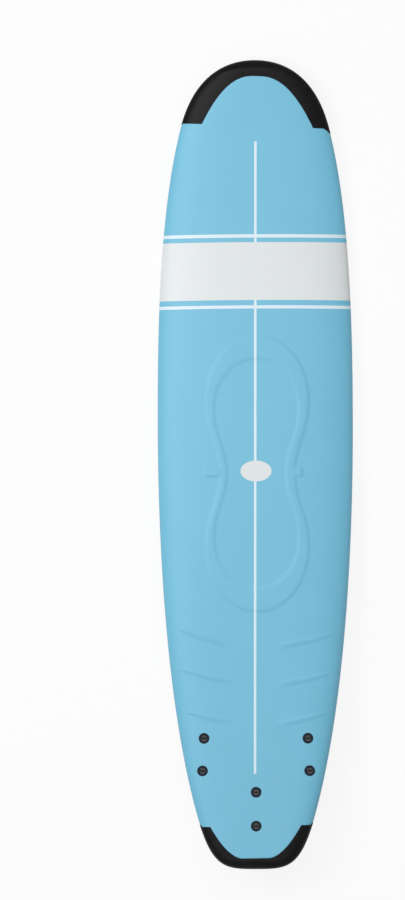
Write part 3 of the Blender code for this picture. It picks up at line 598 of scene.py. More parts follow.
wood, place = start_finish("stringer_wood", "stringer_plywood", 0.62)
grain = noise(wood, stretched(wood, place, WOOD_STRETCH), 1.0, 6.0, 0.6)
plies = node(wood, "ShaderNodeTexWave", {"Vector": place, "Scale": 160.0, "Distortion": 0.4},
             wave_type="BANDS", bands_direction="X").outputs["Fac"]
glue = maths(wood, "LESS_THAN", plies, 0.08)
end_finish(wood, mix(wood, glue, mix(wood, grain, *WOOD_TONES), GLUE), grain, depth=0.0002,
           strength=0.5)
print("finishes:", sorted(FINISHES))

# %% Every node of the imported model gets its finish
for part in frame["record"]["subparts"]:
    for spot in frame["nodes"][part["node"]].material_slots:
        spot.material = FINISHES[part["material_slot"]]

# %% [markdown]
# ## Where the bolts go
#
# Each fin hangs on two bolts that run through the board. Their places follow from the fin's place
# ahead of the tail, its toe-in and the slope of the bottom there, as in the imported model.

# %% The fins' and the bolts' places
SIDE_BOLT_PITCH, CENTRE_BOLT_PITCH = 0.098, 0.102
SIDE_FIN_AHEAD, CENTRE_FIN_AHEAD = 0.3405, 0.175
SIDE_FIN_FROM_RAIL = 0.060
SIDE_FIN_TOE, SIDE_FIN_CANT = 2.9, 5.0
BOLT_SEARCH = 8


def fin_frame(x, ahead, toe):
    """Where a fin meets the bottom, turned with the rocker's slope and its toe-in."""
    y, step = ahead - HALF, SIDE_BOLT_PITCH / 2
    slope = math.atan2(rocker(y + step) - rocker(y - step), 2 * step)
    turned = Matrix.Rotation(slope, 4, "X") @ Matrix.Rotation(math.radians(toe), 4, "Z")
    return Matrix.Translation((x, y, rocker(y))) @ turned


SIDE_OUT = float(half_width(SIDE_FIN_AHEAD - HALF)) - SIDE_FIN_FROM_RAIL
FINS = {
    "left": (fin_frame(-SIDE_OUT, SIDE_FIN_AHEAD, -SIDE_FIN_TOE), SIDE_BOLT_PITCH, -SIDE_FIN_CANT),
    "right": (fin_frame(SIDE_OUT, SIDE_FIN_AHEAD, SIDE_FIN_TOE), SIDE_BOLT_PITCH, SIDE_FIN_CANT),
    "centre": (fin_frame(0.0, CENTRE_FIN_AHEAD, 0.0), CENTRE_BOLT_PITCH, 0.0),
}


def bolt_height(bolt):
    """How far the deck lies above the bottom along a bolt."""
    height = THICKNESS
    for _ in range(BOLT_SEARCH):
        point = bolt @ Vector((0, 0, height))
        height += float(deck_height(point.x, point.y)) - point.z
    return height


BOLTS = {}
for side, (spot, pitch, _) in FINS.items():
    for end, along in (("front", pitch / 2), ("rear", -pitch / 2)):
        bolt = spot @ Matrix.Translation((0, along, 0))
        BOLTS[f"{side}_{end}"] = (bolt, bolt_height(bolt))
print("deck height along each bolt:", {name: round(high, 4) for name, (_, high) in BOLTS.items()})

# %% [markdown]
# ## The moulded relief of the deck
#
# The foam deck is pressed with a raised figure-eight band, a small tab at each side of its
# waist, and three pairs of slanted ribs near the tail. All are about two millimetres high with
# soft slopes. The relief is a height over the plan, added to the deck when its sheet is laid.

# %% The figure-eight band
RELIEF = 0.002
BAND_MIDDLE_Y = -0.0255
BAND_OUTER = {"middle": 0.0055, "end": 0.4165, "lobe": 0.1553, "lobe_at": 0.2187, "waist": 0.1132}
BAND_INNER = {"middle": 0.0030, "end": 0.3468, "lobe": 0.1278, "lobe_at": 0.1960, "waist": 0.0891}
ROUND_HOLD, WAIST_HOLDS = 0.56, (0.42, 0.38)
BAND_SLOPE = 0.010
BAND_STEPS = 30


def band_contour(sizes):
    """The right half of a contour of the band, from its front end to its rear end."""
    top, lobe, waist = (0, sizes["end"]), (sizes["lobe"], sizes["lobe_at"]), (sizes["waist"], 0)
    round_end = (ROUND_HOLD * lobe[0], ROUND_HOLD * (top[1] - lobe[1]))
    into_waist = [hold * lobe[1] for hold in WAIST_HOLDS]
    front = np.vstack([curve(top, (1, 0), lobe, (0, -1), round_end, BAND_STEPS)[:-1],
                       curve(lobe, (0, -1), waist, (0, -1), into_waist, BAND_STEPS)])
    return np.vstack([front, front[-2::-1] * (1, -1)])


def inside_by(path, x, y):
    """How far points of the plan lie inside a contour, negative outside."""
    near = np.full(x.shape, np.inf)
    for (x0, y0), (x1, y1) in zip(path, path[1:]):
        along = ((x - x0) * (x1 - x0) + (y - y0) * (y1 - y0)) / ((x1 - x0) ** 2 + (y1 - y0) ** 2)
        along = np.clip(along, 0, 1)
        near = np.minimum(near, np.hypot(x - x0 - along * (x1 - x0), y - y0 - along * (y1 - y0)))
    edge = np.interp(-y, -path[:, 1], path[:, 0], left=-1, right=-1)
    return np.where(x < edge, near, -near)


def band_relief(x, y):
    """The band's share of the full relief."""
    outer, inner = (
        inside_by(band_contour(sizes), np.abs(x - sizes["middle"]), y - BAND_MIDDLE_Y) / BAND_SLOPE
        for sizes in (BAND_OUTER, BAND_INNER))
    return soft_step(0.5 + outer) * soft_step(0.5 - inner)


print("the band reaches:", np.round(band_contour(BAND_OUTER).max(axis=0), 4))

# %% The tabs and the ribs
TABS = ((-0.152, -0.100), (0.100, 0.1405))
TAB_MIDDLE, TAB_HALF, TAB_SLOPE = -0.0205, 0.0135, 0.005
RIBS = (((-0.066, -0.5420), (-0.238, -0.4925)), ((-0.059, -0.6530), (-0.230, -0.6155)),
        ((-0.062, -0.7745), (-0.216, -0.7430)), ((0.052, -0.5470), (0.240, -0.5090)),
        ((0.052, -0.6610), (0.230, -0.6285)), ((0.047, -0.7835), (0.218, -0.7470)))
RIB_AHEAD, RIB_BEHIND = 0.006, 0.016
RIB_POINT, RIB_NARROW = 0.090, 0.35
RIB_INNER_FADE, RIB_FADE = 0.060, 0.020
RIB_POWER = 1.5


def tab_relief(x, y):
    """The two tabs' share of the full relief."""
    share = np.zeros(x.shape)
    for low, high in TABS:
        depth = np.minimum(np.minimum(x - low, high - x), TAB_HALF - np.abs(y - TAB_MIDDLE))
        share = np.maximum(share, soft_step(0.5 + depth / TAB_SLOPE))
    return share


def rib_relief(x, y):
    """The ribs' share: ridges with a steep side ahead, pointed at the rail."""
    share = np.zeros(x.shape)
    for (x0, y0), (x1, y1) in RIBS:
        length = math.hypot(x1 - x0, y1 - y0)
        way = ((x1 - x0) / length, (y1 - y0) / length)
        along = (x - x0) * way[0] + (y - y0) * way[1]
        ahead = math.copysign(1, way[0]) * ((y - y0) * way[0] - (x - x0) * way[1])
        across = np.where(ahead > 0, ahead / RIB_AHEAD, -ahead / RIB_BEHIND)
        narrow = RIB_NARROW + (1 - RIB_NARROW) * soft_step((length - along) / RIB_POINT)
        ends = soft_step(along / RIB_INNER_FADE) * soft_step((length - along) / RIB_FADE)
        across = np.clip(across / narrow, 0, 1)
        share = np.maximum(share, ends * (1 - across * across) ** RIB_POWER)
    return share


def relief(x, y):
    """The height of the moulded relief over a point of the plan."""
    band = band_relief(x, y)
    return RELIEF * np.maximum(band + tab_relief(x, y) * (1 - band), rib_relief(x, y))


# %% [markdown]
# ## The bumpers' inner edges
#
# The rubber caps end in a curve across the deck that turns square over each rail. The deck foam
# and the bottom sheet stop a hair short of that line. The nose cap sits slightly askew, as it
# does in the photograph.

# %% The edges in plan
NOSE_EDGE_SIZES = (0.048, 0.1975, 0.010, 0.1675, 2.2, 0.008, 2.2, (0.006, 0.013))
TAIL_EDGE_SIZES = (0.0325, 0.1293, 0.040, 0.137, 1.78, -0.0015, 1.0, (0.007, 0.006))
DROP_SLOPE = 0.8
EDGE_STEPS, HALVINGS = 80, 40
GAP = 0.0003


def bumper_edge(tip, depth, reach, flat, half, power, shift, skew, drops):
    """A bumper's inner edge as rows of (x, y), from outside the left rail to outside the right."""
    way = -math.copysign(1, tip)
    left_drop, right_drop = (float(half_width(tip + way * reach)) - width for width in drops)
    share = np.linspace(0, 1, EDGE_STEPS)
    right = np.stack([flat + (half - flat) * share, depth + (reach - depth) * share**power], axis=1)
    outside = reach + DROP_SLOPE * WIDTH
    edge = np.vstack([(-left_drop - WIDTH, outside), (-left_drop, reach),
                      right[::-1] * (-1, 1) + (shift, 0), right + (shift, 0),
                      (right_drop, reach), (right_drop + WIDTH, outside)])
    tilted = edge[:, 1] + math.tan(math.radians(skew)) * (edge[:, 0] - shift)
    return np.stack([edge[:, 0], tip + way * tilted], axis=1)


def meets(around, edge, low, high):
    """For each column round the board, the y at which it meets a bumper's edge."""
    low, high = np.full(around.shape, low), np.full(around.shape, high)
    for _ in range(HALVINGS):
        middle = (low + high) / 2
        past = middle > np.interp(hull(around, middle)[..., 0], edge[:, 0], edge[:, 1])
        low, high = np.where(past, low, middle), np.where(past, middle, high)
    return (low + high) / 2


NOSE_EDGE = bumper_edge(HALF, *NOSE_EDGE_SIZES)
TAIL_EDGE = bumper_edge(-HALF, *TAIL_EDGE_SIZES)
print("corners of the edges:", np.round([NOSE_EDGE[[2, -3]], TAIL_EDGE[[2, -3]]], 4).tolist())

# %% [markdown]
# ## Laying a sheet on the board
#
# The deck foam, the bottom sheet and the bumpers are all sheets that follow the board. Each
# starts as a grid from the Add menu with the columns and rows it needs. Pulling thousands of
# vertices into place by hand is no way to draw a fair surface, so each vertex is set on the
# surface that the plan, foil and section give.

# %% Rows and columns
FORE_ZONE, AFT_ZONE = 0.93, -1.04
ROW_ZONES = ((-1.04, -0.80, 0.0055), (-0.80, -0.48, 0.0025), (-0.48, -0.34, 0.0036),
             (-0.34, -0.06, 0.008), (-0.06, 0.01, 0.003), (0.01, 0.29, 0.008),
             (0.29, 0.41, 0.0036), (0.41, 0.93, 0.016))
DECK_ZONES = ((0.0, 0.27, 11), (0.27, 0.61, 32), (0.61, 0.93, 19))
RAIL_COLUMNS, TUCK_COLUMNS, FLAT_COLUMNS = 8, 8, 34


def zone_rows():
    """The rows between the two end zones, close together where the relief needs it."""
    rows = [np.arange(0, round((b - a) / step)) / round((b - a) / step) * (b - a) + a
            for a, b, step in ROW_ZONES]
    return np.append(np.concatenate(rows), ROW_ZONES[-1][1])


def half_columns():
    """Places round the right half of the board, from the deck's middle to the bottom's middle."""
    deck = [np.linspace(a, b, count, endpoint=False) / DOME_END for a, b, count in DECK_ZONES]
    rail = SIDE + np.arange(RAIL_COLUMNS) / RAIL_COLUMNS
    tuck = APEX + np.arange(TUCK_COLUMNS) / TUCK_COLUMNS
    flat = SEAM + np.arange(FLAT_COLUMNS + 1) / FLAT_COLUMNS
    return np.concatenate([*deck, rail, tuck, flat])


RIGHT = half_columns()
ROUND = np.concatenate([-RIGHT[:0:-1], RIGHT])
print("rows between the ends:", len(zone_rows()), "columns round the board:", len(ROUND))

# %% Columns that pass through the corners of the edges
END_ZONE = 0.9
NOSE_FAN_ROWS, TAIL_FAN_ROWS = 24, 26


def cornered(edge):
    """The columns as they meet an edge, moved so that one passes through each of its corners."""
    around = ROUND
    for x, y in (edge[2], edge[-3]):
        wanted, side = abs(x) / float(half_width(y)) / DOME_END, np.sign(x)
        here = np.abs(around) * (np.sign(around) == side)
        nearest = here[np.argmin(np.abs(here - wanted))]
        moved = np.interp(here, (0, nearest, SIDE), (0, wanted, SIDE))
        around = np.where((here > 0) & (here < SIDE), side * moved, around)
    return around


NOSE_COLUMNS, TAIL_COLUMNS = cornered(NOSE_EDGE), cornered(TAIL_EDGE)
NOSE_MEETS = meets(NOSE_COLUMNS, NOSE_EDGE, END_ZONE, HALF)
TAIL_MEETS = meets(TAIL_COLUMNS, TAIL_EDGE, -HALF, -END_ZONE)


def fan(zone, meets_at, columns, count):
    """Rows between the middle zone and a bumper's edge: each column runs to where it meets it."""
    t = (np.arange(1, count + 1) / count)[:, None]
    around = ROUND + (columns - ROUND) * t
    return around, zone + (meets_at - math.copysign(1, zone) * GAP - zone) * t


def skin_grid():
    """Places of the whole skin between the bumpers, as arrays of around and y."""
    middle = np.broadcast_arrays(ROUND, zone_rows()[:, None])
    nose = fan(FORE_ZONE, NOSE_MEETS, NOSE_COLUMNS, NOSE_FAN_ROWS)
    tail = fan(AFT_ZONE, TAIL_MEETS, TAIL_COLUMNS, TAIL_FAN_ROWS)
    return [np.vstack([aft[::-1], mid, fore]) for aft, mid, fore in zip(tail, middle, nose)]


AROUND, ALONG = skin_grid()
print("skin grid:", AROUND.shape)

# %% Laying a grid
def lay_sheet(name, points):
    """A grid primitive whose vertices lie at these points, given row by row."""
    rows, columns = points.shape[:2]
    sheet = add(name, bpy.ops.mesh.primitive_grid_add, x_subdivisions=columns - 1,
                y_subdivisions=rows - 1, size=1)
    set_points(sheet, points.reshape(-1, 3))
    return sheet


# %% [markdown]
# ## Round holes for the bolts
#
# A hole in a grid stays round only if the faces round it follow it. So a block of faces is
# deleted about each bolt, and the block's border is extruded inwards a few times. Each new ring
# is set a step nearer to the circle of the hole, and the last one lies on it.

# %% Opening round holes
HOLE_RINGS = 4


def nearest_clear(clear, at):
    """The nearest clear places before and after one."""
    return np.flatnonzero(clear[:at])[-1], at + np.flatnonzero(clear[at:])[0]


def hole_block(grid, centre, reach):
    """The rows and columns of a laid grid that stay clear of a circle about a place."""
    away = np.hypot(grid[..., 0] - centre.x, grid[..., 1] - centre.y)
    row, column = np.unravel_index(np.argmin(away), away.shape)
    low, high = nearest_clear(away[:, column] >= reach, row)
    left, right = nearest_clear((away[low:high + 1] >= reach).all(axis=0), column)
    return slice(low, high + 1), slice(left, right + 1)


def towards_circle(point, radius, surface, share):
    """A point drawn in by a share of its way to the circle about the nearest bolt."""
    bolt = min((bolt for bolt, _ in BOLTS.values()),
               key=lambda each: (each.translation.xy - point.xy).length)
    away = bolt.inverted() @ point
    angle, level = math.atan2(away.y, away.x), away.z
    for _ in range(BOLT_SEARCH):
        target = bolt @ Vector((radius * math.cos(angle), radius * math.sin(angle), level))
        level += float(surface(target.x, target.y)) - target.z
    return point.lerp(target, share)


def cut_holes(sheet, grid, from_top, radius, margin, surface):
    """Opens a round hole for every bolt in a laid grid. Returns which vertices are new."""
    inside, border = (np.zeros(grid.shape[:2], bool) for _ in range(2))
    for bolt, height in BOLTS.values():
        centre = bolt @ Vector((0, 0, height if from_top else 0))
        block = hole_block(grid, centre, radius + margin)
        inside[block] = border[block] = True
        border[block][1:-1, 1:-1] = False
    select_squares(sheet, inside.ravel())
    edit(sheet, lambda: bpy.ops.mesh.delete(type="ONLY_FACE"), kind="FACE")
    ring = border.ravel()
    for rings_left in range(HOLE_RINGS, 0, -1):
        before = len(ring)
        select_edges(sheet, ring)
        edit(sheet, bpy.ops.mesh.extrude_edges_indiv, kind="EDGE")
        points = points_of(sheet)
        for k in range(before, len(points)):
            points[k] = towards_circle(Vector(points[k]), radius, surface, 1 / rings_left)
        set_points(sheet, points)
        ring = np.arange(len(points)) >= before
    return np.arange(len(points)) >= border.size


# %% [markdown]
# ## The deck foam
#
# One sheet of foam covers the deck, wraps over both rails and ends at a seam under the board. The
# sheet is laid with its relief, its six holes are opened, and Solidify gives it its six
# millimetres inwards. The hidden inner wall needs no fine grid, so Decimate thins it.

# %% Laying the deck foam
FLANGE_RADIUS = 0.016
DECK_MARGIN = 0.0085

deck_columns = np.abs(ROUND) <= SEAM
deck_points = hull(AROUND[:, deck_columns], ALONG[:, deck_columns])
on_top = np.abs(AROUND[:, deck_columns]) < APEX
deck_points[..., 2] += np.where(on_top, relief(deck_points[..., 0], deck_points[..., 1]), 0)
deck = lay_sheet("deck_foam_skin", deck_points)
fresh = cut_holes(deck, deck_points, True, FLANGE_RADIUS + GAP, DECK_MARGIN, deck_height)
laid = points_of(deck)
laid[fresh, 2] = deck_height(laid[fresh, 0], laid[fresh, 1])
set_points(deck, laid)
edit(deck, bpy.ops.mesh.delete_loose)
print("deck foam:", len(deck.data.vertices), "vertices")

# %% Giving the deck foam its wall
DECK_FOAM, DECK_EDGE, KEPT_SHARE = 0.006, 0.0010, 0.62

deck.vertex_groups.new(name="inner_wall")
finish_modifier(deck, "SOLIDIFY", thickness=DECK_FOAM, offset=-1, use_even_offset=True,
                shell_vertex_group="inner_wall")
finish_modifier(deck, "DECIMATE", ratio=KEPT_SHARE, vertex_group="inner_wall")
soften_edges(deck, DECK_EDGE)
hand_over(deck, "board", "deck_foam", "deck_skin")

# %% [markdown]
# ## The bottom sheet
#
# The slick sheet lies between the two seams under the board. It needs few rows, since the bottom
# is flat across and bends gently along. Six sockets come through it, so it gets six round holes.

# %% The bottom sheet
BOTTOM_SHEET, SHEET_EDGE = 0.004, 0.0008
SOCKET_FLANGE_RADIUS = 0.0145
BOTTOM_MARGIN = 0.0045
FINE_BEHIND, FINE_AHEAD, COARSE_STEP = -0.78, 0.93, 4


def bottom_height(_, y):
    """The height of the flat bottom, the same all across."""
    return levels(np.asarray(y))[0]


across = [*range(FLAT_COLUMNS, -1, -1), *range(-2, -FLAT_COLUMNS - 2, -1)]
fine = (ALONG[:, 0] < FINE_BEHIND) | (ALONG[:, 0] > FINE_AHEAD)
rows = np.sort(np.append(np.flatnonzero(fine), np.flatnonzero(~fine)[::COARSE_STEP]))
bottom_points = hull(AROUND[np.ix_(rows, across)], ALONG[np.ix_(rows, across)])
bottom_points[:, 0, 0] += GAP
bottom_points[:, -1, 0] -= GAP
bottom = lay_sheet("slick_bottom_sheet", bottom_points)
cut_holes(bottom, bottom_points, False, SOCKET_FLANGE_RADIUS + GAP, BOTTOM_MARGIN, bottom_height)
edit(bottom, face_out)
if sum(face.normal.z for face in bottom.data.polygons) > 0:
    edit(bottom, bpy.ops.mesh.flip_normals)
edit(bottom, bpy.ops.mesh.delete_loose)
finish_modifier(bottom, "SOLIDIFY", thickness=BOTTOM_SHEET, offset=-1, use_even_offset=False)
soften_edges(bottom, SHEET_EDGE)
hand_over(bottom, "board", "slick_sheet", "bottom_sheet")

# %% [markdown]
# ## The rubber bumpers
#
# Each cap is the closed end of the board's surface, a millimetre proud of the foam and seated on
# the blank. Its rows run from its edge to the tip, where they all meet. The doubled vertices of
# the tip and of the seam below are merged before the wall is given its thickness.

# %% The bumpers
BUMPER_PROUD, BUMPER_WALL = 0.001, 0.007
BUMPER_EDGE, BUMPER_EDGE_STEPS = 0.0008, 3
CAP_ROWS = 34
TIP_MERGE = 6e-5


def make_cap(name, columns, meets_at, tip, node_name):
    """One bumper: rows from its edge to the tip, close together there, where the board closes."""
    t = (np.arange(CAP_ROWS + 1) / CAP_ROWS)[:, None]
    y = tip + (meets_at - tip) * (1 - t) ** 2
    back = ROUND + (columns - ROUND) * (1 - t)
    points = hull(np.broadcast_to(back, y.shape), y)
    points[-1] = (0, tip, levels(np.array(tip))[1])
    cap = lay_sheet(name, points)
    edit(cap, merge_doubles, face_out)
    finish_modifier(cap, "SOLIDIFY", thickness=BUMPER_WALL, use_even_offset=False,
                    offset=2 * BUMPER_PROUD / BUMPER_WALL - 1)
    soften_edges(cap, BUMPER_EDGE, BUMPER_EDGE_STEPS)
    edit(cap, lambda: merge_doubles(TIP_MERGE))
    hand_over(cap, "board", "bumper_rubber", node_name)


make_cap("nose_guard", NOSE_COLUMNS, NOSE_MEETS, HALF, "nose_bumper")
make_cap("tail_guard", TAIL_COLUMNS, TAIL_MEETS, -HALF, "tail_bumper")

# %% [markdown]
# ## Turned pieces
#
# Plugs, sockets, inserts and screws are round. A circle's vertices are set on the profile, and
# Spin turns it once round the bolt's axis. Where the profile starts and ends on the axis, the
# edge between those two ends is deleted first.

# %% Turning a profile
TURN_STEPS = 48


def turned(name, profile):
    """A turned piece round z, from a closed profile of (radius, height)."""
    piece = add(name, bpy.ops.mesh.primitive_circle_add, vertices=len(profile), radius=1)
    set_points(piece, [(radius, 0, height) for radius, height in profile])
    on_axis = np.array([radius == 0 for radius, _ in profile])
    if on_axis.any():
        select_edges(piece, on_axis)
        edit(piece, lambda: bpy.ops.mesh.delete(type="EDGE"), kind="EDGE")
    edit(piece, lambda: bpy.ops.mesh.spin(steps=TURN_STEPS, angle=math.tau, center=(0, 0, 0),
                                          axis=(0, 0, 1)), choose_all, merge_doubles, face_out)
    return piece


# %% The sizes of the bolts' pieces
FLANGE_THICKNESS, FLANGE_SUNK = 0.0022, 0.0004
CUP_RADIUS, CUP_FLOOR, TUBE_RADIUS = 0.0135, 0.003, 0.0085
HEAD_RADIUS, HEAD_THICKNESS, HEAD_SUNK, HEAD_CHAMFER = 0.0103, 0.004, 0.0006, 0.0008
SLOT_WIDTH, SLOT_DEPTH, SLOT_LENGTH, SLOT_FLOOR_SHARE = 0.0042, 0.0026, 0.017, 0.82
SHANK_RADIUS, SHANK_CLEARANCE = 0.004, 0.0006
SOCKET_FLANGE_THICKNESS, SOCKET_WALL, SOCKET_CLEARANCE = 0.002, 0.003, 0.0004
POST_RADIUS, POST_HEIGHT = 0.008, 0.020
INSERT_RADIUS, INSERT_HEIGHT = 0.0058, 0.012
THREAD_CLEARANCE, SCREW_ENGAGEMENT = 0.0003, 0.009
SOCKET_TOP = POST_HEIGHT + GAP + SOCKET_WALL
BORE_RADIUS = SHANK_RADIUS + SHANK_CLEARANCE


def head_seat(height):
    """The level on which a screw's head sits, for a deck at this height."""
    return height - FLANGE_SUNK - HEAD_SUNK - HEAD_THICKNESS - GAP


def plug_profile(height):
    """Deck plug: a flange flush with the deck, a cup for the head and a tube below."""
    top, floor = height - FLANGE_SUNK, head_seat(height)
    cup, end = HEAD_RADIUS + GAP, SOCKET_TOP + GAP
    under, outside = top - FLANGE_THICKNESS, floor - CUP_FLOOR
    return [(cup, top), (FLANGE_RADIUS, top), (FLANGE_RADIUS, under), (CUP_RADIUS, under),
            (CUP_RADIUS, outside), (TUBE_RADIUS, outside), (TUBE_RADIUS, end), (BORE_RADIUS, end),
            (BORE_RADIUS, floor), (cup, floor)]


def socket_profile():
    """Bottom socket: a flange flush with the bottom and a sleeve for a fin's post."""
    bore, roof = POST_RADIUS + SOCKET_CLEARANCE, SOCKET_TOP - SOCKET_WALL
    sleeve = bore + SOCKET_WALL
    return [(bore, 0), (SOCKET_FLANGE_RADIUS, 0), (SOCKET_FLANGE_RADIUS, SOCKET_FLANGE_THICKNESS),
            (sleeve, SOCKET_FLANGE_THICKNESS), (sleeve, SOCKET_TOP), (BORE_RADIUS, SOCKET_TOP),
            (BORE_RADIUS, roof), (bore, roof)]


# %% Plugs and sockets
EDGE_SOFT = 0.0004
for name, (bolt, height) in BOLTS.items():
    plug = turned(f"deck_cup_{name}", plug_profile(height))
    socket = turned(f"bottom_sleeve_{name}", socket_profile())
    for piece, node_name in ((plug, f"deck_plug_{name}"), (socket, f"bottom_socket_{name}")):
        soften_edges(piece, EDGE_SOFT)
        hand_over(piece, "board", "plug_plastic", node_name, TO_WORLD @ bolt)

# %% [markdown]
# ## The inserts
#
# Each fin post holds a brass insert that takes the screw. It is knurled at both ends, so that the
# plastic grips it, with a plain waist between, and threaded inside. The knurl is made by moving
# every other row of outer vertices in a little.

# %% The inserts
KNURL_DEPTH, KNURL_SHADING = 0.00025, 25
INSERT_ROWS, KNURL_ROWS, WAIST_ROWS = 7, 2.4, 2.8


def insert_profile():
    """Threaded insert: two knurled bands with a waist, open through its middle."""
    bore, low, high = SHANK_RADIUS + THREAD_CLEARANCE, POST_HEIGHT - INSERT_HEIGHT, POST_HEIGHT
    waist, row = INSERT_RADIUS - 2 * THREAD_CLEARANCE, INSERT_HEIGHT / INSERT_ROWS
    return [(bore, low), (INSERT_RADIUS, low), (INSERT_RADIUS, low + KNURL_ROWS * row),
            (waist, low + WAIST_ROWS * row), (waist, high - WAIST_ROWS * row),
            (INSERT_RADIUS, high - KNURL_ROWS * row), (INSERT_RADIUS, high), (bore, high)]


def press_in(piece, depth_at):
    """Moves vertices towards the axis by a depth for their radius, their turn and their height."""
    points = points_of(piece)
    radius = np.hypot(points[:, 0], points[:, 1])
    turn = np.arctan2(points[:, 1], points[:, 0]) / math.tau
    depth = depth_at(radius, turn, points[:, 2])
    points[:, :2] *= ((radius - depth) / np.maximum(radius, TINY))[:, None]
    set_points(piece, points)


def knurl(radius, turn, _):
    """Every other step of the outer bands is pressed in."""
    outer = radius > INSERT_RADIUS - TINY
    return np.where(outer & (np.round(turn * TURN_STEPS) % 2 == 0), KNURL_DEPTH, 0)


for name, (bolt, _) in BOLTS.items():
    insert = turned(f"brass_insert_{name}", insert_profile())
    press_in(insert, knurl)
    hand_over(insert, f"fin_{name.split('_')[0]}", "insert_brass", f"threaded_insert_{name}",
              TO_WORLD @ bolt, KNURL_SHADING)

# %% [markdown]
# ## The screws
#
# A screw has a broad head with a coin slot, a smooth shank and a threaded end. The thread is
# real: the profile has many rows there, and each vertex is moved in by how far it is from the
# crest of a helix. The slot is cut with a bar whose ends are rounded, as a disc cutter leaves it.

# %% The screw's profile and thread
THREAD_PITCH, THREAD_DEPTH = 0.00125, 0.0006
THREAD_LENGTH = 0.016
THREAD_ROWS = 8


def screw_profile(length):
    """The screw from the middle of its head down to its tip. Its seat is at zero."""
    rows = round(THREAD_LENGTH / THREAD_PITCH * THREAD_ROWS)
    shank = [(SHANK_RADIUS, -length + SHANK_RADIUS / 2 + THREAD_LENGTH * (1 - k / rows))
             for k in range(rows + 1)]
    return [(0, HEAD_THICKNESS), (HEAD_RADIUS - HEAD_CHAMFER, HEAD_THICKNESS),
            (HEAD_RADIUS, HEAD_THICKNESS - HEAD_CHAMFER), (HEAD_RADIUS, 0), (SHANK_RADIUS, 0),
            *shank, (SHANK_RADIUS / 2, -length), (0, -length)]


def thread(length):
    """A screw's thread: how deep each place is cut, by how far it is from the helix's crest."""
    top = -length + SHANK_RADIUS / 2 + THREAD_LENGTH - TINY

    def depth_at(radius, turn, height):
        threaded = (np.abs(radius - SHANK_RADIUS) < TINY) & (height < top)
        phase = (height / THREAD_PITCH - turn) % 1
        return np.where(threaded, THREAD_DEPTH * np.abs(2 * phase - 1), 0)

    return depth_at


# %% The slot and the six screws
SCREW_SHADING = 30


def slot_cutter():
    """A bar for the coin slot, with its ends rounded upwards like a disc cutter's path."""
    bar = add("slot_bar", bpy.ops.mesh.primitive_cube_add, size=1)
    bar.scale = (SLOT_LENGTH, SLOT_WIDTH, 2 * SLOT_DEPTH)
    bar.location = (0, 0, HEAD_THICKNESS)
    bpy.ops.object.transform_apply()
    points = points_of(bar)
    points[points[:, 2] < HEAD_THICKNESS, 0] *= SLOT_FLOOR_SHARE
    set_points(bar, points)
    return bar


def join_solid(body, other, operation):
    """Adds or takes away another closed body by a Boolean, and removes that body."""
    finish_modifier(body, "BOOLEAN", operation=operation, solver="EXACT", object=other)
    bpy.data.objects.remove(other, do_unlink=True)


for name, (bolt, height) in BOLTS.items():
    seat = head_seat(height) + GAP
    length = seat - (POST_HEIGHT - SCREW_ENGAGEMENT)
    screw = turned(f"coin_screw_{name}", screw_profile(length))
    press_in(screw, thread(length))
    join_solid(screw, slot_cutter(), "DIFFERENCE")
    hand_over(screw, f"screw_{name}", "screw_metal", f"fin_screw_{name}",
              TO_WORLD @ bolt @ Matrix.Translation((0, 0, seat)), SCREW_SHADING)

# %% [markdown]
# ## The fins
#
# A fin is one moulding: a raked blade with a foiled section, a rounded foot that lies against
# the bottom, and two posts that enter the sockets. The blade is a laid grid whose rows are foil
# sections from root to tip. The foot is an extruded stadium, the posts are turned, and Boolean
# unions make one body of them.

# %% The blade
FIN_DEPTH, FIN_ROOT, FIN_TIP, FIN_RAKE = 0.116, 0.112, 0.030, 0.062
FIN_THICKNESS, FIN_TIP_THICKNESS, FIN_EDGE = 0.0085, 0.0035, 0.0012
LEAD_WAY, LEAD_HANDLES, SWEEP_POWER = (-0.55, -0.84), (0.20, 0.45), 2.0
FOOT_WIDTH, FOOT_HEIGHT, FOOT_OVERHANG = 0.022, 0.004, 0.015
BLADE_ROWS, FOIL_STEPS, LEAD_STEPS = 30, 14, 8
ROOT_FILLET, FILLET_NOSE = 0.003, 8


def blade_points(cant):
    """Foil sections from the root down to the tip, each as a closed row of points."""
    rear_tip = -FIN_ROOT / 2 - FIN_RAKE
    handles = [FIN_ROOT * share for share in LEAD_HANDLES]
    lead = curve((FIN_ROOT / 2, 0), LEAD_WAY, (rear_tip + FIN_TIP, -1), (-1, 0), handles,
                 LEAD_STEPS)
    fall = np.sin(np.linspace(0, 1, BLADE_ROWS + 1) * math.pi / 2)
    front = np.interp(fall, np.linspace(0, 1, LEAD_STEPS + 1), lead[:, 0])
    rear = -FIN_ROOT / 2 - FIN_RAKE * fall**SWEEP_POWER
    z = FOOT_HEIGHT / 2 + (FIN_DEPTH - FOOT_HEIGHT / 2) * fall
    thick = FIN_THICKNESS + (FIN_TIP_THICKNESS - FIN_THICKNESS) * fall
    flare = ROOT_FILLET * np.clip(1 - (z - FOOT_HEIGHT) / (3 * ROOT_FILLET), 0, 1) ** 2
    chord = (1 - np.cos(np.linspace(0, 1, FOIL_STEPS + 1) * math.pi)) / 2
    half = 2 * thick[:, None] * (np.sqrt(chord) - chord) + FIN_EDGE / 2 * chord
    half = half + flare[:, None] * np.minimum(1, FILLET_NOSE * np.sqrt(chord))
    y = front[:, None] - chord * (front - rear)[:, None]
    right = np.stack([half, y, np.broadcast_to(-z[:, None], y.shape)], axis=-1)
    rows = np.concatenate([right, right[:, ::-1] * (-1, 1, 1)], axis=1)
    rows[..., 0] -= math.tan(math.radians(cant)) * rows[..., 2]
    return rows


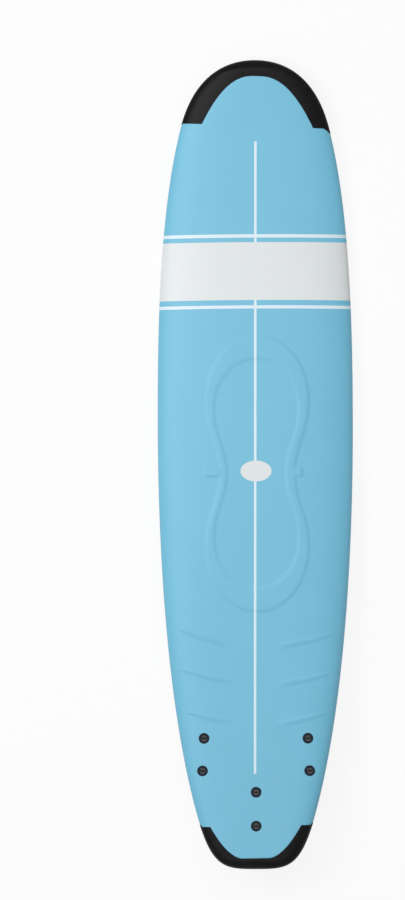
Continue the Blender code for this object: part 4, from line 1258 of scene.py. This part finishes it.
def choose_open_edges():
    """Selects the edges that have a face on one side only."""
    bpy.ops.mesh.select_all(action="DESELECT")
    bpy.ops.mesh.select_non_manifold(extend=False, use_wire=False, use_boundary=True,
                                     use_multi_face=False, use_non_contiguous=False,
                                     use_verts=False)


def make_blade(cant):
    """The blade as a closed shell: a laid grid whose first and last columns meet."""
    rows = blade_points(cant)
    blade = lay_sheet("blade", np.concatenate([rows, rows[:, :1]], axis=1))
    edit(blade, merge_doubles)
    edit(blade, choose_open_edges, bpy.ops.mesh.edge_face_add, choose_all, face_out)
    return blade


# %% The foot and the posts
FOOT_STEPS, FOOT_EDGE, FOOT_EDGE_STEPS = 48, 0.0014, 4


def make_foot(name, pitch):
    """A stadium extruded to the foot's height, its lower edge rounded."""
    foot = add(name, bpy.ops.mesh.primitive_circle_add, vertices=FOOT_STEPS,
               radius=FOOT_WIDTH / 2, fill_type="NGON", location=(0, 0, -GAP))
    bpy.ops.object.transform_apply()
    points = points_of(foot)
    reach = pitch / 2 + FOOT_OVERHANG - FOOT_WIDTH / 2
    points[:, 1] += np.where(points[:, 1] > 0, reach, -reach)
    set_points(foot, points)
    down = {"value": (0, 0, -FOOT_HEIGHT + GAP)}
    edit(foot, lambda: bpy.ops.mesh.extrude_region_move(TRANSFORM_OT_translate=down), choose_all,
         face_out)
    soften_edges(foot, FOOT_EDGE, FOOT_EDGE_STEPS)
    return foot


def make_post(along):
    """A turned post with a well for its insert, from the foot up into the socket."""
    low, floor = POST_HEIGHT - INSERT_HEIGHT - GAP, -FOOT_HEIGHT / 2
    wide = INSERT_RADIUS + GAP
    post = turned("post", [
        (0, floor), (POST_RADIUS, floor), (POST_RADIUS, POST_HEIGHT - EDGE_SOFT),
        (POST_RADIUS - EDGE_SOFT, POST_HEIGHT), (wide, POST_HEIGHT), (wide, low),
        (BORE_RADIUS, low), (BORE_RADIUS, low / 2), (0, low / 2)])
    place_at(post, Matrix.Translation((0, along, 0)))
    return post


# %% The three fins
FIN_NODES = {"left": "side_fin_left", "right": "side_fin_right", "centre": "centre_fin"}
FIN_SHADING = 40
for side, (spot, pitch, cant) in FINS.items():
    fin = make_foot(f"bolt_on_fin_{side}", pitch)
    for part in (make_blade(cant), make_post(pitch / 2), make_post(-pitch / 2)):
        join_solid(fin, part, "UNION")
    hand_over(fin, f"fin_{side}", "fin_plastic", FIN_NODES[side], TO_WORLD @ spot, FIN_SHADING)

# %% [markdown]
# ## The studio
#
# A white floor and a white world make the plain ground of a product photograph. A broad soft lamp
# stands at the board's left, as the bright left slopes of the relief show, and a second one hangs
# over the deck, a little towards the nose, and lifts the shaded slopes. Where the floor is looked
# at, straight or through a reflection or a clear piece, most of its brightness is its own, so
# that it reads as white and still keeps the board's soft shadow.

# %% The floor
FLOOR_SIZE, FLOOR_LEVEL = 60.0, -0.0002
FLOOR_GLOW = 0.88
WHITE, FLOOR_WHITE = (1, 1, 1, 1), (0.90, 0.90, 0.90, 1)


def seen_white(owner):
    """1 where the camera looks, straight or through a reflection or a clear piece."""
    rays = node(owner, "ShaderNodeLightPath").outputs
    seen = maths(owner, "MAXIMUM", rays["Is Camera Ray"], rays["Is Glossy Ray"])
    return maths(owner, "MAXIMUM", seen, rays["Is Transmission Ray"])


finish = bpy.data.materials.new("studio_floor")
finish.use_nodes = True
finish.node_tree.nodes.clear()
share = maths(finish, "MULTIPLY", seen_white(finish), FLOOR_GLOW)
matt = node(finish, "ShaderNodeBsdfDiffuse", {"Color": FLOOR_WHITE}).outputs[0]
glow = node(finish, "ShaderNodeEmission", {"Color": WHITE, "Strength": 1.0}).outputs[0]
mixed = node(finish, "ShaderNodeMixShader", {0: share, 1: matt, 2: glow}).outputs[0]
node(finish, "ShaderNodeOutputMaterial", {"Surface": mixed})
floor = add("studio_floor", bpy.ops.mesh.primitive_plane_add, size=FLOOR_SIZE,
            location=(0, 0, FLOOR_LEVEL))
floor.data.materials.append(finish)
print("floor:", FLOOR_SIZE, "metres across")

# %% The world and the lamps
WORLD_LIGHT = 0.28

world = bpy.context.scene.world = bpy.data.worlds.new("studio_world")
world.use_nodes = True
strength = node(world, "ShaderNodeMapRange", {"Value": seen_white(world), "To Min": WORLD_LIGHT})
ground = world.node_tree.nodes["Background"].inputs
ground["Color"].default_value = WHITE
world.node_tree.links.new(strength.outputs[0], ground["Strength"])


def add_lamp(name, place, size, power):
    """A square area lamp at a place on the board's own axes, turned to the board's middle."""
    lamp = put_in_scene(name, bpy.data.lights.new(name, "AREA"))
    lamp.data.size, lamp.data.energy = size, power
    place = TO_WORLD @ Vector(place)
    aim = (TO_WORLD.translation - place).to_track_quat("-Z", "Y")
    lamp.matrix_world = Matrix.Translation(place) @ aim.to_matrix().to_4x4()
    print(name, "at", np.round(place, 2), "with", power, "watts")


add_lamp("key_from_left", (-2.8, 0.6, 4.9), size=2.4, power=152)
add_lamp("light_above", (0.1, 1.0, 5.9), size=3.2, power=95)
